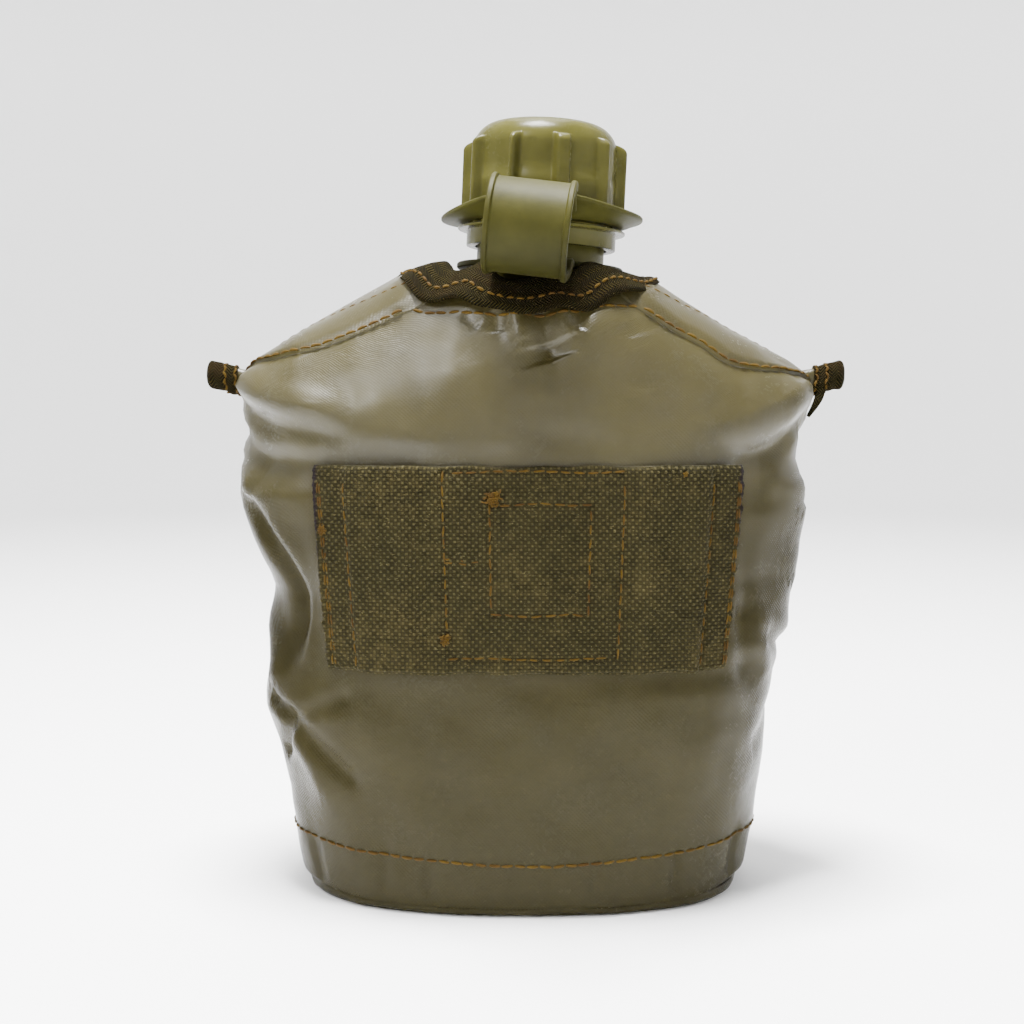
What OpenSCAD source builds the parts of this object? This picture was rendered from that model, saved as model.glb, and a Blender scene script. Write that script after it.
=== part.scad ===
// Field canteen: a blow-moulded bottle with a tethered screw cap, in a sewn
// cover of coated fabric whose two shoulder flaps close on snap fasteners.
// Millimetres, +Z up. The origin is the centre of the cover's base, on the
// surface it stands on. -Y is the side with the belt webbing.

/* [Cover] */
// Half of the cover's width at its base
base_half_w = 61.5; // [60:0.5:62.5]
// Half of the cover's width at its shoulders
shoulder_half_w = 75; // [74:0.5:77]
// Half of the cover's depth at its base
base_half_d = 35; // [34.5:0.5:37]
// How much the half depth grows at mid height
belly = 2.8; // [1:0.2:3.4]
// Height of the shoulder line at the front and back
shoulder_z = 118; // [116:1:119]
// Height of the shoulder corners at the two sides
corner_z = 134; // [133:1:136]
// Thickness of the coated fabric
fabric_t = 1.1; // [0.8:0.1:1.2]

/* [Neck opening of the cover] */
// Half of the opening's width
opening_half_w = 30; // [29:0.5:31]
// Half of the opening's depth
opening_half_d = 26.5; // [26:0.5:27.5]
// Height of the opening's rim at the sides
opening_side_z = 162; // [161:0.5:163]
// Height of the opening's rim at the front and back
opening_mid_z = 157; // [156:0.5:158]

/* [Belt webbing] */
// Width of the webbing, which is its height on the cover
webbing_w = 50.8; // [44:0.1:57]
// Half of the webbing's length, as an angle round the cover
webbing_half_angle = 42.5; // [41:0.5:49]
// Thickness of the webbing
webbing_t = 1.9; // [1.5:0.1:2.2]
// Height of the webbing's lower edge
webbing_z = 62.9; // [60:0.5:64]
// Free height of the two keeper tunnels behind the webbing
tunnel_gap = 1.6; // [1.2:0.1:2]

/* [Bottle] */
// Lean of the bottle in its loose cover, towards +X
lean = 2.5; // [0:0.5:2.5]
// Wall of the blow-moulded bottle
wall = 1.6; // [1.3:0.1:1.8]
// Outer radius of the plain neck
neck_r = 16.8; // [16.6:0.1:16.9]
// Bore radius of the mouth
mouth_r = 13.6; // [13.2:0.1:14]
// Pitch of the cap thread
pitch = 5; // [4.5:0.5:5.5]

/* [Cap] */
// Radius of the cap's plain barrel
cap_r = 19; // [18.9:0.1:19.1]
// Radius to the crest of the grip ribs
rib_r = 21.7; // [21:0.1:22]
// Number of grip ribs
rib_count = 10; // [8:2:14]
// Height of the top of the cap
cap_top = 201.6; // [201.4:0.2:204]

/* [Strap] */
// Radius of the ring under the cap's ribs
ring_r = 26.6; // [26:0.1:27]
// Width of the strap band
strap_w = 20.2; // [18:0.2:21]
// How far the strap stands out from the neck axis
strap_reach = 50; // [48:0.5:52]

/* [Hidden] */
$fn = 72;

fabric_colour = [0.36, 0.36, 0.26];
tape_colour = [0.27, 0.27, 0.15];
webbing_colour = [0.24, 0.25, 0.14];
plastic_colour = [0.38, 0.37, 0.15];
strap_colour = [0.42, 0.42, 0.24];
snap_colour = [0.12, 0.12, 0.09];
brass_colour = [0.62, 0.5, 0.25];

// ---- small maths ----------------------------------------------------------
function smooth(x) = let (c = min(1, max(0, x))) c * c * (3 - 2 * c);
function mix(a, b, k) = a + (b - a) * k;
// A cosine or sine with its corners filled out, for a superellipse
squareness = 2.3;
function power(x, e) = sign(x) * pow(abs(x), e);
function cs(u) = power(cos(u), 2 / squareness);
function sn(u) = power(sin(u), 2 / squareness);

// ---- solids from grids ----------------------------------------------------
// A closed sheet between two grids of rows and columns of points. The outer
// grid's rows and columns run so that row x column points out of the sheet.
module sheet(outer, inner) {
    rows = len(outer);
    cols = len(outer[0]);
    n = rows * cols;
    quad = function (a, b, c, d) [[a, b, c], [a, c, d]];
    top = [for (i = [0:rows - 2], j = [0:cols - 2])
        each quad(i * cols + j, (i + 1) * cols + j, (i + 1) * cols + j + 1, i * cols + j + 1)];
    bottom = [for (f = top) [f[0] + n, f[2] + n, f[1] + n]];
    rim = concat(
        [for (j = [0:cols - 2]) j],
        [for (i = [0:rows - 2]) i * cols + cols - 1],
        [for (j = [cols - 1:-1:1]) (rows - 1) * cols + j],
        [for (i = [rows - 1:-1:1]) i * cols]
    );
    m = len(rim);
    sides = [for (k = [0:m - 1])
        let (a = rim[k], b = rim[(k + 1) % m]) each quad(a, b, b + n, a + n)];
    polyhedron([for (g = [outer, inner], row = g, p = row) p], concat(top, bottom, sides), convexity = 8);
}

// A closed tube through rings that all have the same number of points, with
// flat or cupped ends. Each ring runs anticlockwise seen from the last ring.
module loft(rings) {
    rows = len(rings);
    n = len(rings[0]);
    walls = [for (i = [0:rows - 2], j = [0:n - 1])
        let (a = i * n + j, b = i * n + (j + 1) % n)
        each [[a, a + n, b + n], [a, b + n, b]]];
    last = (rows - 1) * n;
    polyhedron(
        [for (r = rings, p = r) p],
        concat([[for (j = [0:n - 1]) j]], walls, [[for (j = [n - 1:-1:0]) last + j]]),
        convexity = 8
    );
}

// A binding: an eight-point channel section swept through a list of sections,
// with its two ends closed.
module channel(sections) {
    rows = len(sections);
    walls = [for (i = [0:rows - 2], j = [0:7])
        let (a = i * 8 + j, b = i * 8 + (j + 1) % 8)
        each [[a, b, b + 8], [a, b + 8, a + 8]]];
    end = [[0, 1, 2], [0, 2, 7], [7, 2, 3], [7, 3, 6], [6, 3, 4], [6, 4, 5]];
    last = (rows - 1) * 8;
    polyhedron(
        [for (s = sections, p = s) p],
        concat(
            [for (f = end) [f[0], f[2], f[1]]],
            walls,
            [for (f = end) [f[0] + last, f[1] + last, f[2] + last]]
        ),
        convexity = 8
    );
}

// ---- the cover's surface --------------------------------------------------
// u goes round the cover: 0 is +X, 90 is the front, 270 is the back with the
// webbing. v goes up it: 0 is the base, 1 the shoulder line, 2 the neck rim.
seam_z = 1.3;
foot_round = 3;
crown_angle = 55;

function body_half_w(v) =
    let (z = v * shoulder_z) mix(base_half_w, shoulder_half_w, min(1, z / 104)) - foot(z);
function body_half_d(v) =
    let (z = v * shoulder_z) base_half_d + belly * sin(180 * z / 132) - foot(z) * 0.7;
function foot(z) = 1.6 * pow(1 - min(1, z / foot_round), 2);
shoulder_half_d = base_half_d + belly * sin(180 * shoulder_z / 132);

function crown(w) = (1 - cos(crown_angle * w)) / (1 - cos(crown_angle));
function rise(w) = sin(crown_angle * w) / sin(crown_angle);

function half_w(v) = v <= 1 ? body_half_w(v) : mix(shoulder_half_w, opening_half_w, v - 1);
function half_d(v) = v <= 1 ? body_half_d(v) : mix(shoulder_half_d, opening_half_d, crown(v - 1));
function mid_z(v) = v <= 1 ? mix(seam_z, shoulder_z, v) : mix(shoulder_z, opening_mid_z, rise(v - 1));
function side_z(v) =
    v <= 1 ? mid_z(v) + (corner_z - shoulder_z) * pow(max(0, v), 5) : mix(corner_z, opening_side_z, v - 1);

function skin(u, v) = [
    half_w(v) * cs(u),
    half_d(v) * sn(u),
    mix(mid_z(v), side_z(v), pow(cos(u), 2))
];
step_u = 0.5;
step_v = 0.01;
function normal(u, v) =
    let (n = cross(skin(u + step_u, v) - skin(u - step_u, v), skin(u, v + step_v) - skin(u, v - step_v)))
    n / norm(n);
function lift(u, v, off) = skin(u, v) + off * normal(u, v);

function steps(from, to, count) = [for (i = [0:count]) mix(from, to, i / count)];
body_rows = concat(steps(0, 1, 10), steps(1.08, 2, 9));

// A piece of the cover between two offsets from its surface.
module cover_sheet(us, vs, low, high) {
    sheet(
        [for (v = vs) [for (u = us) lift(u, v, high)]],
        [for (v = vs) [for (u = us) lift(u, v, low)]]
    );
}

// ---- cover ----------------------------------------------------------------
side_gap = 0.6;

module back_panel() {
    color(fabric_colour)
        cover_sheet(steps(180 + side_gap, 360 - side_gap, 36), body_rows, -fabric_t, 0);
}

// The front panel stops part way up the shoulder, where the flaps cover it.
front_top = 1.3;
module front_panel() {
    color(fabric_colour)
        difference() {
            cover_sheet(steps(side_gap, 180 - side_gap, 36),
                concat(steps(0, 1, 10), steps(1.06, front_top, 4)), -fabric_t, 0);
            for (side = [-1, 1])
                at_snap(side) cylinder(r = snap_hole_r, h = 8, center = true);
        }
}

function outline(inset) = [for (u = [0:4:356]) [
    (half_w(0) - inset) * cs(u),
    (half_d(0) - inset) * sn(u)
]];

base_t = 1.2;
rim_w = 3;
drain_hole_r = 4.1;
module base_panel() {
    color(fabric_colour)
        difference() {
            union() {
                linear_extrude(base_t) difference() {
                    polygon(outline(0));
                    polygon(outline(rim_w));
                }
                translate([0, 0, base_t - 0.2]) linear_extrude(base_t + 0.2) polygon(outline(fabric_t + 0.3));
            }
            cylinder(r = drain_hole_r, h = 8, center = true);
        }
}

drain_r = 3.3;
drain_flange_r = 7;
drain_sheet_t = 0.6;
drain_low = 0.3;
module drain_eyelet() {
    color(brass_colour)
        difference() {
            union() {
                translate([0, 0, drain_low]) cylinder(r = drain_flange_r, h = drain_sheet_t);
                translate([0, 0, drain_low]) cylinder(r = drain_hole_r - 0.1, h = 2 * base_t + 0.35);
            }
            cylinder(r = drain_r, h = 10, center = true);
        }
}

module drain_washer() {
    color(brass_colour)
        translate([0, 0, 2 * base_t + 0.05])
            difference() {
                cylinder(r = drain_flange_r, h = drain_sheet_t);
                cylinder(r = drain_hole_r, h = 4, center = true);
            }
}

// The tape folded over the rim of the neck opening, from flap to flap.
tape_t = 0.7;
tape_gap = 0.1;
neck_tape_v = 1.82;
module neck_binding() {
    out = tape_gap + tape_t;
    color(tape_colour)
        channel([for (u = steps(195, 345, 25)) [
            lift(u, neck_tape_v, tape_gap), lift(u, neck_tape_v, out),
            lift(u, 2.02, out), lift(u, 2.02, -fabric_t - out),
            lift(u, neck_tape_v, -fabric_t - out), lift(u, neck_tape_v, -fabric_t - tape_gap),
            lift(u, 2.003, -fabric_t - tape_gap), lift(u, 2.003, tape_gap)
        ]]);
}

// The webbing is sewn flat at its ends and middle and stands free in between,
// which leaves two tunnels for belt keepers.
tunnel_in = 17;
tunnel_out = 35;
function tunnel(angle) =
    let (a = abs(angle))
    smooth((a - tunnel_in) / 3) * smooth((tunnel_out - a) / 3);
function v_at(z) = (z - seam_z) / (shoulder_z - seam_z);
module belt_webbing() {
    angles = steps(-webbing_half_angle, webbing_half_angle, 48);
    vs = steps(v_at(webbing_z), v_at(webbing_z + webbing_w), 8);
    low = function (a) 0.1 + tunnel_gap * tunnel(a);
    color(webbing_colour)
        sheet(
            [for (v = vs) [for (a = angles) lift(270 + a, v, low(a) + webbing_t)]],
            [for (v = vs) [for (a = angles) lift(270 + a, v, low(a))]]
        );
}

// ---- flaps ----------------------------------------------------------------
// Each flap folds on a straight line along the shoulder, from its corner to
// the neck rim. p runs from the flap's front edge to that line, q from the
// neck rim down to the hem.
fold_off = 0.75;
fold_corner = [shoulder_half_w + 0.4, 0, corner_z + 0.64];
fold_neck = [opening_half_w + 0.4, 0, opening_side_z + 0.64];
fold_tilt = atan2(fold_corner[2] - fold_neck[2], fold_corner[0] - fold_neck[0]);

flap_front_u = 78;
flap_fold_u = 1;
flap_corner_q = 0.5;
hem_v = 0.8;
flap_stand = 2.55;
function below(q) = max(0, (q - flap_corner_q) / (1 - flap_corner_q));
function flap_u(p, q) = mix(flap_front_u - 6 * pow(below(q), 2), flap_fold_u + 26 * pow(below(q), 0.8), p);
function flap_v(p, q) =
    q <= flap_corner_q ? mix(2, 1, q / flap_corner_q)
        : mix(1, hem_v + 0.1 * pow(abs(2 * p - 1), 2.5), below(q));
function stand(p, q) = 0.2 + flap_stand * smooth((1 - p) / 0.35) * smooth(q / 0.3)
    + 0.6 * below(q);
function flap_point(p, q, off) = lift(flap_u(p, q), flap_v(p, q), stand(p, q) + off);

module right_side(side) {
    if (side > 0) children();
    else mirror([1, 0, 0]) children();
}

module yoke(side) {
    color(fabric_colour)
        right_side(side)
            cover_sheet(steps(-15, -4.2, 8), steps(1.02, 1.99, 9), 0.15, 0.15 + fabric_t);
}

module flap(side) {
    color(fabric_colour)
        difference() {
            right_side(side)
                sheet(
                    [for (q = concat(steps(0, 0.5, 8), steps(0.56, 1, 7)))
                        [for (p = steps(0, 1, 14)) flap_point(p, q, fabric_t)]],
                    [for (q = concat(steps(0, 0.5, 8), steps(0.56, 1, 7)))
                        [for (p = steps(0, 1, 14)) flap_point(p, q, 0)]]
                );
            at_snap(side) cylinder(r = snap_hole_r, h = 12, center = true);
        }
}

// The bound edge starts at the fold beside the neck, goes round the neck rim,
// down the front edge and along the hem, and ends at the shoulder corner.
function edge_path(inset) = concat(
    [for (p = steps(0.93, inset, 8)) [p, inset]],
    [for (q = steps(0.12, 0.9, 10)) [inset, q]],
    [for (p = steps(inset, 1 - inset, 10)) [p, 1 - inset]],
    [for (q = steps(0.9, 0.56, 5)) [1 - inset, q]]
);
module flap_binding(side) {
    out = edge_path(-0.012);
    edge = edge_path(-0.003);
    inner = edge_path(0.075);
    color(tape_colour)
        right_side(side)
            channel([for (i = [0:len(out) - 1])
                let (
                    a = inner[i], b = edge[i], c = out[i],
                    high = fabric_t + tape_gap + tape_t,
                    low = -min(tape_gap + tape_t, stand(a[0], a[1]) - 0.15)
                ) [
                    flap_point(a[0], a[1], fabric_t + tape_gap), flap_point(a[0], a[1], high),
                    flap_point(c[0], c[1], high), flap_point(c[0], c[1], low),
                    flap_point(a[0], a[1], low), flap_point(a[0], a[1], low / 2),
                    flap_point(b[0], b[1], low / 2), flap_point(b[0], b[1], fabric_t + tape_gap)
                ]]);
}

// The rolled end of the binding, which stands out of the shoulder corner on
// the line of the fold.
tail_r = 4.2;
tail_start = 3.6;
tail_end = 9.8;
module binding_tail(side) {
    round = 2.4;
    color(tape_colour)
        right_side(side)
            translate(fold_corner)
                rotate([0, 90 - fold_tilt, 0])
                    rotate_extrude()
                        polygon(concat(
                            [[0, 1.2], [1.3, 1.2], [1.3, tail_start], [tail_r - 0.6, tail_start],
                                [tail_r, tail_start + 0.6]],
                            [for (a = [0:15:90]) [
                                tail_r - round + round * cos(a),
                                tail_end - round + round * sin(a)
                            ]],
                            [[0, tail_end]]
                        ));
}

// ---- snap fasteners -------------------------------------------------------
// Each stands on the front panel where the flap lies over it, with its axis
// along the surface's normal. Heights are above the panel's outer face.
snap_u = 55;
snap_v = 1.15;
snap_r = 5.2;
snap_hole_r = 1.9;
shank_r = 1.6;
stud_r = 2.9;
socket_bore_r = 4;
sheet_t = 0.5;
flap_under = 2.75;

module at_snap(side) {
    right_side(side) {
        n = normal(snap_u, snap_v);
        translate(skin(snap_u, snap_v))
            rotate([0, acos(n[2]), atan2(n[1], n[0])])
                children();
    }
}

module snap_stud(side) {
    color(snap_colour)
        at_snap(side)
            difference() {
                union() {
                    translate([0, 0, 0.08]) cylinder(r = snap_r, h = sheet_t);
                    translate([0, 0, 0.3]) cylinder(r = stud_r, h = 1.4);
                }
                cylinder(r = shank_r + 0.05, h = 2.5, center = true);
            }
}

module snap_post(side) {
    flange = -fabric_t - 0.5;
    color(snap_colour)
        at_snap(side) {
            translate([0, 0, flange - sheet_t]) cylinder(r = snap_r, h = sheet_t);
            translate([0, 0, flange - sheet_t]) cylinder(r = shank_r, h = sheet_t - flange + 1);
        }
}

module snap_socket(side) {
    top = flap_under - 0.45;
    color(snap_colour)
        at_snap(side)
            difference() {
                translate([0, 0, top - 1.4]) cylinder(r = snap_r, h = 1.4);
                translate([0, 0, top - 2]) cylinder(r = socket_bore_r, h = 1.55);
                cylinder(r = shank_r + 0.05, h = 10, center = true);
            }
}

module snap_cap(side) {
    top = flap_under + fabric_t;
    dome_r = 6.2;
    dome_h = 1.3;
    color(snap_colour)
        at_snap(side) {
            translate([0, 0, top + 0.08])
                rotate_extrude()
                    polygon(concat([[0, 0], [dome_r, 0]],
                        [for (a = [15:15:75]) [dome_r * cos(a), dome_h * sin(a)]], [[0, dome_h]]));
            translate([0, 0, flap_under - 0.8]) cylinder(r = shank_r, h = fabric_t + 1.2);
        }
}

// ---- bottle ---------------------------------------------------------------
// Everything on the bottle is drawn about an upright neck axis and then leans
// with it about a point at lean_z.
lean_z = 80;
module leaning() {
    translate([0, 0, lean_z]) rotate([0, lean, 0]) translate([0, 0, -lean_z]) children();
}

bottle_floor = 5.4;
bottle_shoulder = 120;
bottle_neck = 163;
bottle_half_w = [54, 62.5];
bottle_half_d = [30, 32.5];
hollow_back = 7;
function bottle_ring(w, d, z, dent) = [for (u = [0:7.5:352.5]) [
    w * cs(u),
    d * sn(u) + (u > 180 ? dent * pow(max(0, -sin(u)), 3) : 0),
    z
]];
function bottle_rings(inset) =
    let (low = bottle_floor + inset, foot_r = 9)
    concat(
        [for (a = [15:15:75])
            bottle_ring(
                bottle_half_w[0] - inset - foot_r * (1 - sin(a)),
                bottle_half_d[0] - inset - foot_r * (1 - sin(a)),
                low + foot_r * (1 - cos(a)), hollow_back * sin(a) * 0.7
            )],
        [for (k = steps(0, 1, 6))
            let (z = mix(low + foot_r, bottle_shoulder, k))
            bottle_ring(
                mix(bottle_half_w[0], bottle_half_w[1], k) - inset,
                mix(bottle_half_d[0], bottle_half_d[1], k) - inset,
                z, hollow_back * (0.7 + 0.3 * sin(90 * k))
            )],
        [for (k = steps(0.125, 1, 7))
            bottle_ring(
                mix(neck_r + 0.6, bottle_half_w[1], cos(90 * k)) - inset,
                mix(neck_r + 0.6, bottle_half_d[1], cos(90 * k)) - inset,
                bottle_shoulder - 0.8 * inset
                    + (bottle_neck - bottle_shoulder) * (0.2 * sin(90 * k) + 0.8 * k),
                hollow_back * cos(90 * min(1, k * 1.2))
            )]
    );

finish_r = 15.6;
lip_z = 197;
finish_z = 171;
thread_z = 183;
thread_turns = 1.25;
// A trapezoid ridge on a helix, from a root radius to a crest radius. Both ends
// sink into the wall that carries the ridge.
module thread(root, crest, sunk, start_z, turns) {
    out = sign(crest - root);
    seg = ceil(turns * 30);
    n = seg + 1;
    ridge = [for (i = [0:seg])
        let (
            a = 360 * turns * i / seg,
            fade = smooth(min(i, seg - i) / 4),
            tip = mix(sunk, crest, fade),
            z = start_z + pitch * a / 360,
            at = function (r, dz) [r * cos(a), r * sin(a), z + dz]
        )
        [at(root, -1.2), at(tip, -0.5), at(tip, 0.5), at(root, 1.2)]];
    walls = [for (i = [0:n - 2], j = [0:3])
        let (a = i * 4 + j, b = i * 4 + (j + 1) % 4)
        each (out > 0 ? [[a, b, b + 4], [a, b + 4, a + 4]] : [[a, b + 4, b], [a, a + 4, b + 4]])];
    last = (n - 1) * 4;
    ends = out > 0
        ? [[3, 2, 1], [3, 1, 0], [last, last + 1, last + 2], [last, last + 2, last + 3]]
        : [[0, 1, 2], [0, 2, 3], [last + 3, last + 2, last + 1], [last + 3, last + 1, last]];
    polyhedron([for (r = ridge, p = r) p], concat(walls, ends), convexity = 6);
}

module bottle() {
    color(plastic_colour)
        leaning()
            difference() {
                union() {
                    difference() {
                        loft(bottle_rings(0));
                        loft(bottle_rings(wall));
                    }
                    rotate_extrude()
                        polygon([[0, bottle_neck - 1.2], [neck_r, bottle_neck - 1.2], [neck_r, finish_z],
                            [finish_r, finish_z + 1.2], [finish_r, lip_z - 0.6], [finish_r - 0.6, lip_z],
                            [0, lip_z]]);
                    thread(finish_r - 0.5, neck_r, finish_r - 0.25, thread_z, thread_turns);
                }
                translate([0, 0, bottle_neck - 12]) cylinder(r = mouth_r, h = 60);
            }
}

// ---- cap ------------------------------------------------------------------
skirt_r = 19.7;
skirt_low = 169.4;
bead_z = 174;
bead_r = 22.1;
rib_low = 177.4;
rib_high = 196.4;
cap_bore_r = 17.3;
dome_round = 7;
crown_t = 1.7;
module cap() {
    wide_rib = 4.6;
    slim_rib = 2.7;
    inner_round = dome_round - crown_t;
    color(plastic_colour)
        leaning() {
            difference() {
                union() {
                    rotate_extrude()
                        polygon(concat(
                            [[0, skirt_low], [skirt_r, skirt_low], [skirt_r, bead_z - 0.5],
                                [bead_r, bead_z - 0.3], [bead_r, bead_z + 0.3], [skirt_r, bead_z + 0.6],
                                [cap_r, bead_z + 0.9]],
                            [for (a = [0:15:90]) [
                                cap_r - dome_round + dome_round * cos(a),
                                cap_top - dome_round + dome_round * sin(a)
                            ]],
                            [[0, cap_top]]
                        ));
                    for (i = [0:rib_count - 1])
                        rotate([0, 0, 282 + i * 360 / rib_count])
                            rib(i % 5 == 0 ? wide_rib : slim_rib);
                }
                rotate_extrude()
                    polygon(concat([[0, skirt_low - 1], [cap_bore_r, skirt_low - 1]],
                        [for (a = [0:15:90]) [
                            cap_bore_r - inner_round + inner_round * cos(a),
                            cap_top - dome_round + inner_round * sin(a)
                        ]],
                        [[0, cap_top - crown_t]]));
            }
            thread_cap();
        }
}

// A grip rib, thinner at its crest, with a sloped top.
module rib(w) {
    root = cap_r - 0.6;
    translate([0, 0, rib_low])
        intersection() {
            linear_extrude(rib_high - rib_low)
                polygon([[root, -w / 2], [rib_r - 0.6, -w / 2], [rib_r, -w / 2 + 0.6],
                    [rib_r, w / 2 - 0.6], [rib_r - 0.6, w / 2], [root, w / 2]]);
            cylinder(r1 = rib_r + 12, r2 = rib_r - 1.2, h = rib_high - rib_low);
        }
}

// The ridge inside the cap runs half a pitch below the bottle's.
module thread_cap() {
    thread(cap_bore_r + 0.6, finish_r + 0.5, cap_bore_r + 0.3, thread_z - pitch / 2 + 0.5, 1);
}

seal_t = 1.5;
module cap_seal() {
    color([0.06, 0.06, 0.06])
        leaning()
            translate([0, 0, lip_z + 0.05]) cylinder(r = mouth_r + 1.2, h = seal_t);
}

// ---- strap ----------------------------------------------------------------
// One moulding on the real bottle: a ring round the neck, a band that loops
// out towards -Y, and a ring that the cap turns in.
strap_t = 1.5;
ring_z = 176;
neck_ring_z = 163.4;
strap_turn = -5;
loop_r = 11.3;
loop_z = 170.7;
bead_h = 0.7;
bead_w = 1.5;

module neck_ring() {
    color(strap_colour)
        leaning()
            translate([0, 0, neck_ring_z])
                difference() {
                    union() {
                        cylinder(r = 22, h = strap_t);
                        rotate([0, 0, strap_turn]) translate([-strap_w / 2, -25, 0]) cube([strap_w, 12, strap_t]);
                    }
                    cylinder(r = neck_r + 0.3, h = 10, center = true);
                }
}

// The ring under the ribs. The pull of the strap bends its front edge up.
ring_bore_r = 19.5;
front_lift = 5;
module cap_ring() {
    inner = ring_bore_r - 1;
    around = [0:5:355];
    bend = function (u) let (f = max(0, -sin(u - strap_turn))) mix(-0.4, front_lift, pow(f, 3));
    ring = function (r, dz) [for (u = around)
        let (k = smooth((r - 20.6) / (ring_r - 20.6)))
        [r * cos(u), r * sin(u), dz + k * bend(u)]];
    color(strap_colour)
        leaning()
            translate([0, 0, ring_z - 0.7])
                difference() {
                    loft(concat(
                        [for (r = [inner, 20.6, 22.6, 24.6, ring_r]) ring(r, 0)],
                        [for (r = [ring_r, 24.6, 22.6, 20.6, inner]) ring(r, 1.3)]
                    ));
                    cylinder(r = ring_bore_r, h = 10, center = true);
                }
}

// The side view of the band: an arc at the front and two legs back to the rings.
module loop_outline(grow) {
    centre = [-(strap_reach - loop_r), loop_z];
    leg_low = [[-25.3, neck_ring_z], [-25.3, neck_ring_z + strap_t]];
    leg_high = [[-27.2, ring_z + front_lift + 0.9], [-27.2, ring_z + front_lift - 0.6]];
    arc = function (r, from, to) [for (a = steps(from, to, 24)) centre + r * [cos(a), sin(a)]];
    polygon(concat(
        [leg_high[0]], arc(loop_r + grow, 80, 282), [leg_low[0] - [0, grow * 0.4]],
        [leg_low[1]], arc(loop_r - strap_t, 282, 80), [leg_high[1]]
    ));
}

module strap_band() {
    color(strap_colour)
        leaning()
            rotate([0, 0, strap_turn])
                rotate([90, 0, 90]) {
                    translate([0, 0, -strap_w / 2]) linear_extrude(strap_w) loop_outline(0);
                    for (z = [-strap_w / 2, strap_w / 2 - bead_w])
                        translate([0, 0, z]) linear_extrude(bead_w) loop_outline(bead_h);
                }
}

// ---- assembly -------------------------------------------------------------
bottle();
neck_ring();
strap_band();
cap_ring();
cap();
cap_seal();
back_panel();
front_panel();
base_panel();
drain_eyelet();
drain_washer();
neck_binding();
belt_webbing();
yoke(-1);  // left_flap_yoke
yoke(1);  // right_flap_yoke
flap(-1);  // left_flap
flap(1);  // right_flap
flap_binding(-1);  // left_flap_binding
flap_binding(1);  // right_flap_binding
binding_tail(-1);  // left_binding_tail
binding_tail(1);  // right_binding_tail
snap_cap(-1);  // left_snap_cap
snap_socket(-1);  // left_snap_socket
snap_stud(-1);  // left_snap_stud
snap_post(-1);  // left_snap_post
snap_cap(1);  // right_snap_cap
snap_socket(1);  // right_snap_socket
snap_stud(1);  // right_snap_stud
snap_post(1);  // right_snap_post
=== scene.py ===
"""A field canteen standing in its sewn cover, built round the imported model."""

import math

import bpy
import numpy as np
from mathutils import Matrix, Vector


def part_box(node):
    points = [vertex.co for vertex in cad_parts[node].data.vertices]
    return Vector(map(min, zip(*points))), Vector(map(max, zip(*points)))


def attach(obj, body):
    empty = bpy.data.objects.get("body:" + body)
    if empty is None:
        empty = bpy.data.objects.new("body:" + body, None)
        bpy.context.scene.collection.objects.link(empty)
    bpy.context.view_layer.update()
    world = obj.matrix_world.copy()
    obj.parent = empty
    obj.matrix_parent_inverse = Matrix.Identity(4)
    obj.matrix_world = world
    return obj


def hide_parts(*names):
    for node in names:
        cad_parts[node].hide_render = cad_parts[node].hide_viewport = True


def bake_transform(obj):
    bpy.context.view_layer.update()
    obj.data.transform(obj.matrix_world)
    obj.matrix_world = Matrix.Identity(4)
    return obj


bl_info = {
    "name": "Field Canteen",
    "version": (1, 0, 0),
    "blender": (4, 5, 0),
    "location": "3D View > Sidebar > Canteen",
    "description": "A tethered canteen in a sewn cover of coated cloth",
    "category": "Object",
}

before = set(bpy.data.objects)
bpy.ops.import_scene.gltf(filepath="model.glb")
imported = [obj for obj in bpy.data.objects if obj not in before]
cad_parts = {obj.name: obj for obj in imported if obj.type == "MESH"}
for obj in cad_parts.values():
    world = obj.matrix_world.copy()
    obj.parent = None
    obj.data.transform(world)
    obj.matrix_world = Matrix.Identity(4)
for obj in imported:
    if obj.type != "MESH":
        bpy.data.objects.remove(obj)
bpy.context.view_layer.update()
MM = 0.001
RANDOM_SEED = 11
# The angle, in degrees, past which a turned piece's edge looks sharp
CREASE = 38


# ---- measures, in millimetres -----------------------------------------------
def span(node, axis):
    """The lowest and highest place of a CAD node along an axis, in millimetres."""
    low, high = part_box(node)
    return low[axis] / MM, high[axis] / MM


# The cover, whose surface follows the frame's: u goes round it, from +X at 0 to
# the webbing at 270, and v goes up it, from the base at 0 to the shoulder line
# at 1 and the neck rim at 2.
SQUARENESS = 2.3
BASE_HALF_W = 61.5
SHOULDER_HALF_W = span("back_panel", 0)[1]
BASE_HALF_D = 35.0
BELLY = 2.8
BELLY_Z = 132.0
WIDEST_Z = 104.0
SHOULDER_Z = 118.0
CORNER_Z = 134.0
SEAM_Z = 1.3
FOOT_ROUND = 3.0
FOOT_TUCK = 1.6
OPENING_HALF_W = 30.0
OPENING_HALF_D = 26.5
OPENING_SIDE_Z = 162.0
OPENING_MID_Z = 157.0
CROWN_ANGLE = 55.0
CLOTH_T = 1.1

# The bottle's neck, which leans towards +X about a point at LEAN_Z
LEAN = math.radians(2.5)
LEAN_Z = 80.0
NECK_R = 16.8

# The cap
CAP_R = 19.0
RIB_R = 21.7
RIB_COUNT = 10
RIB_FIRST = 282.0
CAP_TOP = 201.6
CAP_ROUND = 7.0
SKIRT_R = 19.7
SKIRT_Z = 169.4
BEAD_R = 22.1
BEAD_Z = 174.0
RIB_LOW = 177.4
RIB_HIGH = 196.4
CAP_BORE = 17.3

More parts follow.
